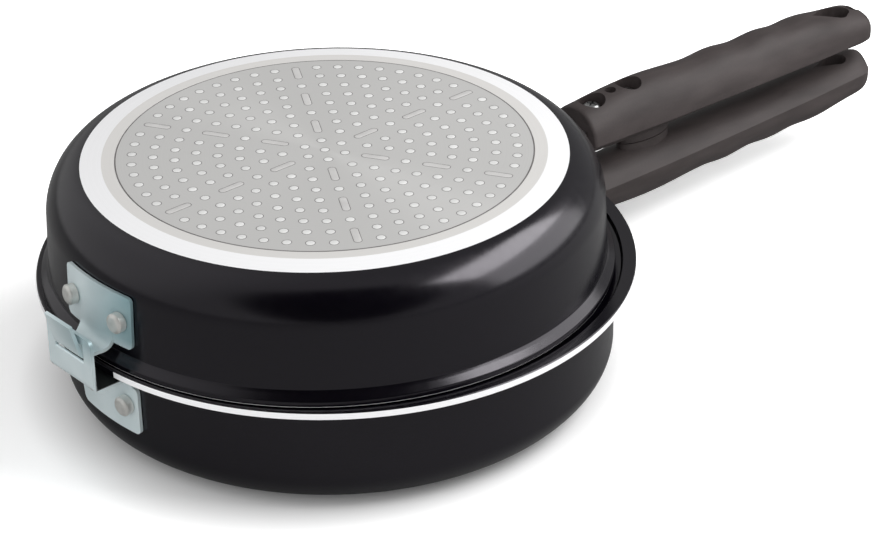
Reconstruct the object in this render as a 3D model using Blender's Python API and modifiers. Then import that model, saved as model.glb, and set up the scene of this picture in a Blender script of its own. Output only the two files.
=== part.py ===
"""A double sided flip pan for omelettes and tortillas, closed, standing on its lower pan.

Two round coated aluminium pans lie mouth to mouth. A hook plate on the upper pan reaches
through a loop plate on the lower pan and makes the hinge. Each pan has a perforated steel
disc in its base and a moulded handle screwed to a steel tang that is riveted to the wall.

Metres, +Z up. The origin is the centre of the lower pan's base, +X points along the
handles and the hinge lies at -X, parallel to Y.
"""
import math
from collections import namedtuple

import bmesh
import bpy
from mathutils import Matrix, Vector

# How the pieces sit on each other
seat_gap = 0.0003
hinge_play = 0.0041
clearance = 0.0003
overrun = 0.0040

# Driving dimensions of the two pans, each up from its own base and outwards from the middle
lower_pan_height = 0.0518
upper_pan_height = 0.0487
base_flat_radius = 0.0895
bevel_width = 0.0089
bevel_drop = 0.0011
shoulder_inset = 0.0020
shoulder_start_rise = 0.0009
shoulder_roundness = 1.857
lower_shoulder_height = 0.0158
lower_shoulder_width = 0.0174
upper_shoulder_height = 0.0184
upper_shoulder_width = 0.0164
wall_spread = 0.0002
wall_thickness = 0.0026
floor_thickness = 0.0042
inner_corner_radius = 0.0150
turning_steps = 60
closed_height = lower_pan_height + seat_gap + upper_pan_height
bevel_outer_radius = base_flat_radius + bevel_width
shoulder_start_radius = bevel_outer_radius - shoulder_inset
lower_wall_foot_radius = shoulder_start_radius + lower_shoulder_width
upper_wall_foot_radius = shoulder_start_radius + upper_shoulder_width
wall_mouth_radius = lower_wall_foot_radius + wall_spread

# The lower pan's broad rim, which the upper pan's lip rests on
rim_overhang = 0.0087
rim_top_width = 0.0055
rim_edge_height = 0.0031
rim_radius = wall_mouth_radius + rim_overhang
rim_top_inner_radius = rim_radius - rim_top_width
rim_top_fall = 0.0004
rim_step_depth = 0.0018
rim_step_run = 0.0007
rim_ledge_width = 0.0030
rim_underside_rise = 0.0010
rim_fillet = 0.0016

# The upper pan's flared lip, which would fit inside the rim's step
lip_radius = rim_top_inner_radius - clearance
lip_edge_height = 0.0025
lip_flare_height = 0.0024
lip_foot_step = 0.0008
lip_fillet = 0.0010

# The perforated steel disc pressed into each base
machined_ring_width = 0.0056
disc_radius = base_flat_radius - machined_ring_width
disc_thickness = 0.0008
disc_border = 0.0065
pattern_arms = 6
pattern_rings = 9
hole_spacing = (disc_radius - disc_border) / pattern_rings
hole_radius = 0.0016
slot_length = 0.0113
slot_width = 0.0030
slot_centres_shares = (2.5, 5.5, 8.5)
hole_centres_shares = (1.0, 4.0, 7.0)

# Sheet steel of the two hinge plates, and the plates on the walls
sheet_thickness = 0.0015
hook_plate_height = 0.0222
hook_plate_lip_gap = 0.0051
hook_plate_margin = 0.0061
loop_plate_height = 0.0208
loop_plate_rim_gap = 0.0044
loop_plate_margin = 0.0062
plate_corner_radius = 0.0022

# The loop that stands up outside the lower rim
loop_reach = 0.0088
loop_distance = rim_radius + loop_reach
loop_half_width = 0.0145
loop_shelf_gap = 0.00055
loop_bend_radius = 0.0022
loop_corner_radius = 0.0028
loop_post_width = 0.0051
hinge_bar_rise = 0.0061
window_height = 0.0076
window_corner_radius = 0.0016
loop_head_height = 0.0034
window_half_width = loop_half_width - loop_post_width
window_bar_height = lower_pan_height + hinge_bar_rise
window_top_height = window_bar_height + window_height
loop_top_height = window_top_height + loop_head_height
loop_shelf_drop = rim_edge_height + rim_underside_rise + loop_shelf_gap + sheet_thickness / 2
loop_shelf_height = lower_pan_height - loop_shelf_drop

# The hook's tongue, which turns on the rounded edge of the loop's bar
tongue_half_width = 0.0104
tongue_side_play = 0.0011
tongue_tip_half_width = window_half_width - tongue_side_play
tongue_clearance = 0.0004
tongue_root_radius = 0.0050
tongue_neck_inset = 0.0070
tongue_neck_distance = loop_distance - tongue_neck_inset
tongue_bend_inset = 0.0024
tongue_tip_radius = 0.0030
tongue_tip_rise = 0.0165
tongue_tip_height = window_bar_height + tongue_tip_rise
tongue_tip_lean = math.radians(10.0)

# Aluminium rivets. Their shares are heights on a wall's straight part, from its foot up.
rivet_head_radius = 0.0036
rivet_head_height = 0.0030
rivet_head_chamfer = 0.0005
rivet_shank_radius = 0.0022
rivet_inner_head_radius = 0.0042
rivet_inner_head_height = 0.0012
rivet_sides = 12
hook_rivet_side_gap = 0.0006
hook_rivet_offset = tongue_half_width + rivet_head_radius + hook_rivet_side_gap
hook_rivet_share = 0.351
loop_rivet_offset = 0.0110
loop_rivet_share = 0.561
hook_plate_half_width = hook_rivet_offset + hook_plate_margin
loop_plate_half_width = loop_rivet_offset + loop_plate_margin

# Steel tangs that carry the handles
tang_plate_half_width = 0.0230
tang_plate_height = 0.0200
tang_plate_thickness = 0.0025
tang_rivet_offset = 0.0155
tang_half_width = 0.0080
tang_thickness = 0.0030
tang_level = 0.0040
lower_tang_rim_gap = 0.0041
lower_tang_rivet_share = 0.52
upper_tang_lip_gap = 0.0010
upper_tang_rivet_share = 0.551

# Moulded handles, in their own frame: along x from the root, outer side towards +z
handle_reach = 0.0113
handle_root_distance = rim_radius + handle_reach
handle_length = 0.1885
handle_half_width = 0.0150
handle_outer_depth = 0.0176
handle_inner_depth = 0.0060
handle_width_shares = ((0, 0.93), (0.13, 0.97), (0.32, 1.0), (0.74, 0.95), (0.93, 0.87), (1, 0.86))
handle_outer_shares = ((0, 0.81), (0.13, 0.96), (0.23, 1.0), (0.39, 0.91), (0.47, 0.98),
                       (0.55, 0.91), (0.63, 0.985), (0.7, 0.91), (0.775, 0.945), (0.87, 0.84),
                       (0.95, 0.77), (1, 0.72))
handle_inner_shares = ((0, 0.75), (0.2, 1.0), (0.8, 0.95), (1, 0.8))
handle_root_shares = (0, 0.3, 1)
handle_tip_shares = (0.3, 0.55, 0.75, 0.9, 0.985)
handle_tip_radius = 0.0130
handle_tip_round = 0.0100
handle_tip_inner_round = 0.0050
handle_tip_squareness = 2.4
handle_root_round = 0.0020
handle_sides = 24
handle_rings = 26
upper_handle_rise = 0.0069
upper_handle_height = lower_pan_height + upper_handle_rise
upper_handle_droop = math.radians(1.82)
lower_handle_drop = 0.0163
lower_handle_height = lower_pan_height - lower_handle_drop
lower_handle_droop = 0.0

# Bosses on the handles' inner sides, which meet when the pan is shut
boss_distance = 0.0425
boss_half_length = 0.0150
boss_half_width = 0.0064
boss_gap = 0.0004
magnet_radius = 0.0042
magnet_thickness = 0.0030

# Screws, their recesses, the moulding hole between them and the hanging hole
screw_distances = (0.0105, 0.0325)
tang_end_margin = 0.0095
tang_reach = screw_distances[-1] + tang_end_margin
recess_radius = 0.0060
recess_floor_level = 0.0105
screw_head_radius = 0.0042
screw_head_height = 0.0026
screw_shank_radius = 0.0018
screw_drive_width = 0.0010
screw_drive_depth = 0.0012
screw_tail = 0.0012
screw_dome_shares = ((0.6, 0.9), (0.92, 0.55), (1, 0.2))
screw_drive_share = 0.55
moulding_hole_radius = 0.0026
moulding_hole_depth = 0.0050
hanging_hole_inset = 0.0170
hanging_hole_distance = handle_length - hanging_hole_inset
hanging_hole_radius = 0.0050
hanging_hole_point = 0.0150
tip_recess_inset = 0.0070
tip_recess_distance = handle_length - tip_recess_inset
tip_recess_radius = 0.0030
tip_recess_stretch = 0.0030
tip_recess_depth = 0.0040

object_name = "double_sided_flip_pan"


def clear_scene():
    for old in list(bpy.data.objects):
        bpy.data.objects.remove(old, do_unlink=True)


def new_collection(name):
    collection = bpy.data.collections.new(name)
    bpy.context.scene.collection.children.link(collection)
    return collection


def new_material(name, colour, roughness, metallic=0.0):
    material = bpy.data.materials.new(name)
    material.use_nodes = True
    shader = material.node_tree.nodes["Principled BSDF"]
    shader.inputs["Base Color"].default_value = (*colour, 1.0)
    shader.inputs["Roughness"].default_value = roughness
    shader.inputs["Metallic"].default_value = metallic
    return material


clear_scene()
parts = new_collection(object_name)
cutters = new_collection("cutters")
black_enamel = new_material("black_enamel", (0.02, 0.02, 0.022), 0.25)
steel_disc = new_material("perforated_steel", (0.55, 0.55, 0.54), 0.4, 1.0)
zinc_plate = new_material("zinc_plated_steel", (0.62, 0.68, 0.70), 0.35, 1.0)
rivet_metal = new_material("rivet_aluminium", (0.75, 0.74, 0.70), 0.45, 1.0)
tang_steel = new_material("tang_steel", (0.45, 0.45, 0.46), 0.4, 1.0)
moulding = new_material("moulded_handle", (0.045, 0.038, 0.034), 0.55)
screw_steel = new_material("screw_steel", (0.7, 0.7, 0.7), 0.25, 1.0)
magnet_metal = new_material("magnet_metal", (0.5, 0.5, 0.52), 0.3, 1.0)

# Each pan is made base down about its own axis. The upper one is turned over.
# The wall's straight part runs from its foot to its head, just under the rim or the lip.
PanShape = namedtuple("PanShape", "place shoulder_height wall_foot_radius mouth head outer")
upper_turn = Matrix.Rotation(math.pi, 4, "X")
upper_place = Matrix.Translation((-hinge_play, 0, closed_height)) @ upper_turn
lower_mouth = lower_pan_height - rim_edge_height
lower_shape = PanShape(Matrix.Identity(4), lower_shoulder_height, lower_wall_foot_radius,
                       lower_mouth, lower_mouth - rim_underside_rise - rim_fillet, -1)
upper_shape = PanShape(upper_place, upper_shoulder_height, upper_wall_foot_radius,
                       upper_pan_height, upper_pan_height - lip_edge_height - lip_flare_height, 1)


def add_object(name, mesh, material=None, place=None, collection=parts):
    """Link a mesh as an object, with its material and its place."""
    shape = bpy.data.objects.new(name, mesh)
    collection.objects.link(shape)
    if place is not None:
        shape.matrix_world = place
    if material is not None:
        mesh.materials.append(material)
    if collection is cutters:
        shape.hide_render = True
        shape.display_type = "WIRE"
    return shape


def mesh_from_bmesh(name, shape, outward=True):
    if outward:
        bmesh.ops.recalc_face_normals(shape, faces=shape.faces)
    mesh = bpy.data.meshes.new(name)
    shape.to_mesh(mesh)
    shape.free()
    return mesh


def block(name, low, high, **options):
    """A box between two corners."""
    shape = bmesh.new()
    bmesh.ops.create_cube(shape, size=1.0)
    low, high = Vector(low), Vector(high)
    size = high - low
    bmesh.ops.scale(shape, vec=size, verts=shape.verts)
    bmesh.ops.translate(shape, vec=(low + high) / 2, verts=shape.verts)
    return add_object(name, mesh_from_bmesh(name, shape), **options)


def rod(name, radius, bottom, top, sides=16, centre=(0, 0), stretch=0, **options):
    """An upright cylinder between two heights. With stretch it is an oval along x."""
    shape = bmesh.new()
    bmesh.ops.create_cone(shape, cap_ends=True, segments=sides, radius1=radius, radius2=radius,
                          depth=top - bottom)
    bmesh.ops.scale(shape, vec=((radius + stretch) / radius, 1, 1), verts=shape.verts)
    bmesh.ops.translate(shape, vec=(*centre, (bottom + top) / 2), verts=shape.verts)
    return add_object(name, mesh_from_bmesh(name, shape), **options)


def prism(name, outline, depth, turn=None, **options):
    """A flat outline filled and given a depth along z, then turned to its plane."""
    curve = bpy.data.curves.new(name, "CURVE")
    curve.dimensions = "2D"
    curve.fill_mode = "BOTH"
    curve.extrude = depth / 2
    spline = curve.splines.new("POLY")
    spline.points.add(len(outline) - 1)
    for point, (x, y) in zip(spline.points, outline):
        point.co = (x, y, 0, 1)
    spline.use_cyclic_u = True
    holder = bpy.data.objects.new(name + "_outline", curve)
    cutters.objects.link(holder)
    bpy.context.view_layer.update()
    seen = holder.evaluated_get(bpy.context.evaluated_depsgraph_get())
    mesh = bpy.data.meshes.new_from_object(seen)
    bpy.data.objects.remove(holder, do_unlink=True)
    shape = bmesh.new()
    shape.from_mesh(mesh)
    bpy.data.meshes.remove(mesh)
    bmesh.ops.remove_doubles(shape, verts=shape.verts, dist=clearance / 100)
    if turn is not None:
        bmesh.ops.transform(shape, matrix=turn, verts=shape.verts)
    return add_object(name, mesh_from_bmesh(name, shape), **options)


def turned(name, profile, steps, **options):
    """A profile of (radius, height) points swept round the z axis."""
    shape = bmesh.new()
    corners = [shape.verts.new((radius, 0, height)) for radius, height in profile]
    for first, second in zip(corners, corners[1:]):
        shape.edges.new((first, second))
    if profile[0][0] > 0 and profile[-1][0] > 0:
        shape.edges.new((corners[-1], corners[0]))
    body = add_object(name, mesh_from_bmesh(name, shape, outward=False), **options)
    screw = body.modifiers.new("sweep", "SCREW")
    screw.axis = "Z"
    screw.angle = 2 * math.pi
    screw.steps = steps
    screw.render_steps = steps
    screw.use_merge_vertices = True
    screw.merge_threshold = clearance / 100
    return body


def combine(body, other, operation):
    modifier = body.modifiers.new(other.name, "BOOLEAN")
    modifier.operation = operation
    modifier.solver = "EXACT"
    modifier.object = other


def arc(centre, radius, start, end, count):
    """Points on an arc, its ends included, from one angle to another in radians."""
    points = []
    for index in range(count + 1):
        angle = start + (end - start) * index / count
        points.append((centre[0] + radius * math.cos(angle), centre[1] + radius * math.sin(angle)))
    return points


def rounded_rectangle(half_width, bottom, top, radius, count=3):
    """Outline of a rectangle, centred across, with rounded corners."""
    points = []
    quarter = math.pi / 2
    for turn, (side, height) in enumerate(((1, top), (-1, top), (-1, bottom), (1, bottom))):
        rise = -radius if height == top else radius
        centre = (side * (half_width - radius), height + rise)
        points += arc(centre, radius, turn * quarter, (turn + 1) * quarter, count)
    return points


def wall_foot(pan):
    """Height over a pan's base at which its wall leaves the shoulder."""
    return shoulder_start_rise + pan.shoulder_height


def wall_lean(pan):
    """How much a pan's wall widens for each unit of its height."""
    return (wall_mouth_radius - pan.wall_foot_radius) / (pan.mouth - wall_foot(pan))


def wall_radius(pan, height):
    """Outer radius of a pan's wall at a height over its base."""
    return pan.wall_foot_radius + wall_lean(pan) * (height - wall_foot(pan))


def wall_level(pan, share):
    """Height over a pan's base at a share of its wall's straight part."""
    return wall_foot(pan) + share * (pan.head - wall_foot(pan))


def floor_and_inner_wall(pan, inner_top):
    """Inside of a pan, from the middle of its floor to the given height on its wall."""
    corner_height = floor_thickness + inner_corner_radius
    wall_inside = wall_radius(pan, corner_height) - wall_thickness
    centre = (wall_inside - inner_corner_radius, corner_height)
    corner = arc(centre, inner_corner_radius, -math.pi / 2, 0, 4)
    top = (wall_radius(pan, inner_top) - wall_thickness, inner_top)
    return [(0, floor_thickness), *corner, top]


def shoulder_and_base(pan):
    """Outside of a pan from the foot of its wall to the middle of its base."""
    profile = []
    count = 8
    for index in range(count):
        angle = math.pi / 2 * (1 - index / count)
        power = 2 / shoulder_roundness
        width = pan.wall_foot_radius - shoulder_start_radius
        radius = shoulder_start_radius + width * math.sin(angle) ** power
        height = shoulder_start_rise + pan.shoulder_height * (1 - math.cos(angle) ** power)
        if height > bevel_drop and radius > bevel_outer_radius:
            profile.append((radius, height))
    recess_radius_here = disc_radius + clearance
    recess_depth = disc_thickness + clearance
    base = [(bevel_outer_radius, bevel_drop), (base_flat_radius, 0), (recess_radius_here, 0)]
    return profile + base + [(recess_radius_here, recess_depth), (0, recess_depth)]


def lower_rim():
    """The broad rim's section, from the inner wall over the top to the outer wall."""
    ledge_height = lower_pan_height - rim_top_fall - rim_step_depth
    step_radius = rim_top_inner_radius - rim_step_run
    underside = lower_pan_height - rim_edge_height
    fillet_radius = wall_radius(lower_shape, underside) + rim_fillet
    return [
        (step_radius - rim_ledge_width, ledge_height - rim_top_fall),
        (step_radius, ledge_height),
        (rim_top_inner_radius, lower_pan_height - rim_top_fall),
        (rim_radius - rim_top_fall, lower_pan_height),
        (rim_radius, lower_pan_height - rim_top_fall),
        (rim_radius, underside),
        (fillet_radius, underside - rim_underside_rise),
        (wall_radius(lower_shape, underside), underside - rim_underside_rise - rim_fillet),
    ]


def upper_lip():
    """The flared lip's section, from the inner wall over its edge to the outer wall."""
    edge_foot = upper_pan_height - lip_edge_height
    flare_foot = edge_foot - lip_flare_height
    wall = wall_radius(upper_shape, flare_foot)
    return [
        (wall - wall_thickness / 2, upper_pan_height),
        (lip_radius - rim_top_fall, upper_pan_height),
        (lip_radius, upper_pan_height - rim_top_fall),
        (lip_radius, edge_foot),
        (wall + lip_foot_step, flare_foot),
        (wall, flare_foot - lip_fillet),
    ]


def make_pan(name, pan, rim, inner_top):
    profile = floor_and_inner_wall(pan, inner_top) + rim + shoulder_and_base(pan)
    return turned(name, profile, turning_steps, material=black_enamel, place=pan.place)


def make_disc(name, place):
    """The steel disc, cut along six arms with slots and round holes."""
    disc = rod(name, disc_radius, 0, disc_thickness, sides=turning_steps, material=steel_disc,
               place=place)
    pattern = bmesh.new()
    half = slot_length / 2
    end = slot_width / 2
    for arm in range(pattern_arms):
        turn = Matrix.Rotation(2 * math.pi * arm / pattern_arms, 4, "Z")
        for share in slot_centres_shares:
            outline = arc((half - end, 0), end, -math.pi / 2, math.pi / 2, 3)
            outline += arc((end - half, 0), end, math.pi / 2, 3 * math.pi / 2, 3)
            add_punch(pattern, outline, turn, share * hole_spacing)
        for share in hole_centres_shares:
            outline = arc((0, 0), hole_radius, 0, 2 * math.pi, 8)[:-1]
            add_punch(pattern, outline, turn, share * hole_spacing)
    punch = add_object(name + "_punch", mesh_from_bmesh(name + "_punch", pattern), place=place,
                       collection=cutters)
    combine(disc, punch, "DIFFERENCE")
    return disc


def add_punch(pattern, outline, turn, distance):
    """One upright punch of an outline, at a distance along a turned arm."""
    ring = [pattern.verts.new(turn @ Vector((x + distance, y, -overrun))) for x, y in outline]
    face = pattern.faces.new(ring)
    lifted = bmesh.ops.extrude_face_region(pattern, geom=[face])["geom"]
    moved = [item for item in lifted if isinstance(item, bmesh.types.BMVert)]
    bmesh.ops.translate(pattern, vec=(0, 0, disc_thickness + 2 * overrun), verts=moved)


def wall_plate(name, pan, side, half_width, bottom, top, thickness, material):
    """A plate bent round a pan's wall at +X or -X, cut to a rounded rectangle."""
    inner_foot = wall_radius(pan, bottom - overrun) + clearance
    inner_head = wall_radius(pan, top + overrun) + clearance
    ring = [(inner_foot, bottom - overrun), (inner_head, top + overrun),
            (inner_head + thickness, top + overrun), (inner_foot + thickness, bottom - overrun)]
    plate = turned(name, ring, turning_steps, material=material, place=pan.place)
    outline = rounded_rectangle(half_width, bottom, top, plate_corner_radius)
    frame = prism(name + "_outline_cut", outline, wall_mouth_radius,
                  turn=facing_x(side * wall_mouth_radius), place=pan.place, collection=cutters)
    combine(plate, frame, "INTERSECT")
    return plate


def facing_x(distance):
    """Sets an outline drawn across and up into the plane at a distance along X."""
    upright = Matrix(((0, 0, 1, 0), (1, 0, 0, 0), (0, 1, 0, 0), (0, 0, 0, 1)))
    return Matrix.Translation((distance, 0, 0)) @ upright


def radial_place(pan, side, height, offset):
    """Place of a rivet on a wall: local z points outwards, at an offset across the plate."""
    radius = wall_radius(pan, height)
    angle = math.asin(offset / radius)
    if side < 0:
        angle = math.pi - angle
    across = Matrix.Rotation(angle, 4, "Z")
    tip_out = Matrix.Rotation(math.pi / 2 + math.atan(wall_lean(pan)), 4, "Y")
    return pan.place @ across @ Matrix.Translation((radius, 0, height)) @ tip_out


def rivet_profile(grip):
    """Outer head, shank and flat inner head. The wall's outer face is at height zero."""
    top = grip + clearance + rivet_head_height
    inner = -wall_thickness - clearance
    return [
        (0, top),
        (rivet_head_radius - rivet_head_chamfer, top),
        (rivet_head_radius, top - rivet_head_chamfer),
        (rivet_head_radius, grip + clearance),
        (rivet_shank_radius, grip + clearance),
        (rivet_shank_radius, inner),
        (rivet_inner_head_radius, inner),
        (rivet_inner_head_radius - rivet_head_chamfer, inner - rivet_inner_head_height),
        (0, inner - rivet_inner_head_height),
    ]


def rivet_pair(stem, pan, body, plate, side, share, offset, thickness):
    """Two rivets through a plate and the wall, with their holes."""
    for word, sign in (("left", 1), ("right", -1)):
        where = radial_place(pan, side, wall_level(pan, share), -sign * pan.outer * offset)
        turned(f"{stem}_rivet_{word}", rivet_profile(clearance + thickness), rivet_sides,
               material=rivet_metal, place=where)
        hole = rod(f"{stem}_rivet_{word}_hole", rivet_shank_radius + clearance,
                   -wall_thickness - overrun, thickness + overrun, sides=rivet_sides, place=where,
                   collection=cutters)
        combine(body, hole, "DIFFERENCE")
        combine(plate, hole, "DIFFERENCE")


def strip_outline(path, thickness):
    """Outline of a bent strip whose middle line follows a path, with square ends."""
    left, right = [], []
    for index, point in enumerate(path):
        before = Vector(path[max(index - 1, 0)])
        after = Vector(path[min(index + 1, len(path) - 1)])
        along = (after - before).normalized()
        normal = Vector((-along.y, along.x)) * thickness / 2
        left.append(tuple(Vector(point) + normal))
        right.append(tuple(Vector(point) - normal))
    return left + right[::-1]


def side_strip(name, path, half_width, material=None, **options):
    """A sheet strip bent along a path in the XZ plane, straight across Y."""
    upright = Matrix.Rotation(math.pi / 2, 4, "X")
    outline = strip_outline(path, sheet_thickness)
    return prism(name, outline, 2 * half_width, turn=upright, material=material, **options)


def make_loop_bracket():
    """Lower hinge plate: wall plate, shelf under the rim and upright loop with its window."""
    half = sheet_thickness / 2
    plate_top = lower_shape.head - loop_plate_rim_gap
    plate_bottom = plate_top - loop_plate_height
    plate = wall_plate("loop_bracket", lower_shape, -1, loop_plate_half_width, plate_bottom,
                       plate_top, sheet_thickness, zinc_plate)
    wall_line = -(wall_radius(lower_shape, plate_top) + clearance + half)
    bend = loop_bend_radius + half
    path = [(wall_line, plate_top - plate_corner_radius - sheet_thickness)]
    path += arc((wall_line - bend, loop_shelf_height - bend), bend, 0, math.pi / 2, 4)
    foot = (-loop_distance + bend, loop_shelf_height + bend)
    path += arc(foot, bend, 3 * math.pi / 2, math.pi, 4)
    path += [(-loop_distance, loop_top_height)]
    strip = side_strip("loop_bracket_strip", path, loop_half_width, collection=cutters)
    depth = 2 * (loop_distance - shoulder_start_radius)
    outline = rounded_rectangle(loop_half_width, plate_bottom, loop_top_height,
                                loop_corner_radius)
    trim = prism("loop_bracket_trim", outline, depth, turn=facing_x(-loop_distance),
                 collection=cutters)
    combine(strip, trim, "INTERSECT")
    combine(plate, strip, "UNION")
    # The window's lower edge is the hinge bar, rounded to half the sheet's thickness.
    opening = rounded_rectangle(window_half_width, window_bar_height, window_top_height,
                                window_corner_radius)
    window = prism("loop_bracket_window", opening, 2 * overrun, turn=facing_x(-loop_distance),
                   collection=cutters)
    combine(plate, window, "DIFFERENCE")
    for side in (1, -1):
        combine(plate, bar_edge_cutter(side), "DIFFERENCE")
    return plate


def bar_edge_cutter(side):
    """Takes the corner off one side of the hinge bar's top, leaving a quarter round."""
    half = sheet_thickness / 2
    centre = (-loop_distance, window_bar_height - half)
    quarter = arc(centre, half, math.pi / 2, math.pi / 2 - side * math.pi / 2, 4)
    corner = centre[0] + side * (half + clearance)
    lift = window_bar_height + clearance
    outline = quarter + [(corner, centre[1]), (corner, lift), (centre[0], lift)]
    return prism(f"loop_bracket_bar_edge_{'inner' if side > 0 else 'outer'}", outline,
                 2 * (window_half_width - clearance), turn=Matrix.Rotation(math.pi / 2, 4, "X"),
                 collection=cutters)


def hinge_axis_height():
    return window_bar_height - sheet_thickness / 2


def make_hook_bracket():
    """Upper hinge plate: wall plate and a tongue bent out, over the bar and up."""
    half = sheet_thickness / 2
    plate_top = upper_shape.head - hook_plate_lip_gap
    plate = wall_plate("hook_bracket", upper_shape, -1, hook_plate_half_width,
                       plate_top - hook_plate_height, plate_top, sheet_thickness, zinc_plate)
    wall_line = -hinge_play - clearance - half - wall_radius(upper_shape, plate_top)
    level = window_bar_height + tongue_clearance + half
    root = tongue_root_radius + half
    path = [(wall_line, level + root + hook_plate_height / 4), (wall_line, level + root)]
    path += arc((wall_line - root, level + root), root, 0, -math.pi / 2, 5)[1:]
    bend = tongue_tip_radius + half
    turn_centre = (-loop_distance + tongue_bend_inset, level + bend)
    lean = -math.pi + tongue_tip_lean
    path += arc(turn_centre, bend, -math.pi / 2, lean, 6)
    last = Vector(path[-1])
    rise = tongue_tip_height - last.y
    path.append((last.x - rise * math.tan(tongue_tip_lean), tongue_tip_height))
    strip = side_strip("hook_bracket_tongue", path, tongue_half_width, collection=cutters)
    for side in (1, -1):
        low = (-loop_distance - overrun - tongue_tip_height, tongue_tip_half_width, 0)
        high = (-tongue_neck_distance, tongue_half_width + overrun, closed_height)
        if side < 0:
            low, high = (low[0], -high[1], low[2]), (high[0], -low[1], high[2])
        word = "left" if side > 0 else "right"
        combine(strip, block(f"hook_bracket_neck_{word}", low, high, collection=cutters),
                "DIFFERENCE")
    combine(plate, strip, "UNION")
    return plate


def handle_place(height, droop, outer):
    """Place of a handle: outer is 1 where its outer side faces up, or -1 where it faces down."""
    root = Matrix.Translation((handle_root_distance, 0, height)) @ Matrix.Rotation(droop, 4, "Y")
    if outer < 0:
        root = root @ Matrix.Rotation(math.pi, 4, "X")
    return root


def smooth_value(table, share):
    """Smooth value through a table of (share of the length, value) pairs."""
    last = len(table) - 2
    index = 0
    while index < last and share > table[index + 1][0]:
        index += 1
    start, low = table[index]
    end, high = table[index + 1]
    before = table[max(index - 1, 0)]
    after = table[min(index + 2, last + 1)]
    run = end - start
    rise_in = run * (high - before[1]) / (end - before[0])
    rise_out = run * (after[1] - low) / (after[0] - start)
    t = (share - start) / run
    ease = t * t * (3 - 2 * t)
    return low + (high - low) * ease + (t - 1) * t * (rise_in * (t - 1) + rise_out * t)


def cap_factor(distance, radius):
    """Quarter round towards the handle's tip, starting a radius before it."""
    cap = (distance - handle_length + radius) / radius
    return math.sqrt(1 - cap ** handle_tip_squareness) if cap > 0 else 1


def handle_section(distance):
    """Half width, outer depth and inner depth of the handle at a distance from its root."""
    share = distance / handle_length
    width = handle_half_width * smooth_value(handle_width_shares, share)
    outer = handle_outer_depth * smooth_value(handle_outer_shares, share)
    inner = handle_inner_depth * smooth_value(handle_inner_shares, share)
    width *= cap_factor(distance, handle_tip_radius)
    outer *= cap_factor(distance, handle_tip_round)
    inner *= cap_factor(distance, handle_tip_inner_round)
    if distance < handle_root_round:
        edge = 1 - distance / handle_root_round
        shrink = handle_root_round * (1 - math.sqrt(1 - edge * edge)) / 2
        width -= shrink
        outer -= shrink
        inner -= shrink
    return width, outer, inner


def handle_stations():
    """Distances along the handle, closer together at its round ends."""
    stations = [handle_root_round * share for share in handle_root_shares]
    straight = handle_length - handle_tip_radius - handle_root_round
    for index in range(1, handle_rings + 1):
        stations.append(handle_root_round + straight * index / handle_rings)
    for share in handle_tip_shares:
        stations.append(handle_length - handle_tip_radius * (1 - share))
    return stations


def handle_mesh(name):
    """A loft of half oval sections, deeper on the outer side than on the inner side."""
    shape = bmesh.new()
    rings = []
    for distance in handle_stations():
        width, outer, inner = handle_section(distance)
        ring = []
        for side in range(handle_sides):
            angle = 2 * math.pi * (side + 0.5) / handle_sides
            depth = outer if math.sin(angle) >= 0 else inner
            place = (distance, width * math.cos(angle), depth * math.sin(angle))
            ring.append(shape.verts.new(place))
        rings.append(ring)
    for first, second in zip(rings, rings[1:]):
        for side in range(handle_sides):
            after = (side + 1) % handle_sides
            shape.faces.new((first[side], first[after], second[after], second[side]))
    shape.faces.new(rings[0])
    shape.faces.new(rings[-1])
    return mesh_from_bmesh(name, shape)


def boss_face_level(height, outer):
    """Level of a boss's face over its handle's root, half a gap from the other boss."""
    upper_level = upper_handle_height - math.sin(upper_handle_droop) * boss_distance
    lower_level = lower_handle_height - math.sin(lower_handle_droop) * boss_distance
    return boss_gap / 2 - outer * (height - (upper_level + lower_level) / 2)


def hanging_hole_outline():
    """A teardrop: round towards the tip, pointed towards the pan."""
    centre = (hanging_hole_distance, 0)
    tangent = math.acos(hanging_hole_radius / hanging_hole_point)
    start = -math.pi + tangent
    outline = arc(centre, hanging_hole_radius, start, -start, 10)
    return outline + [(hanging_hole_distance - hanging_hole_point, 0)]


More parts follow.
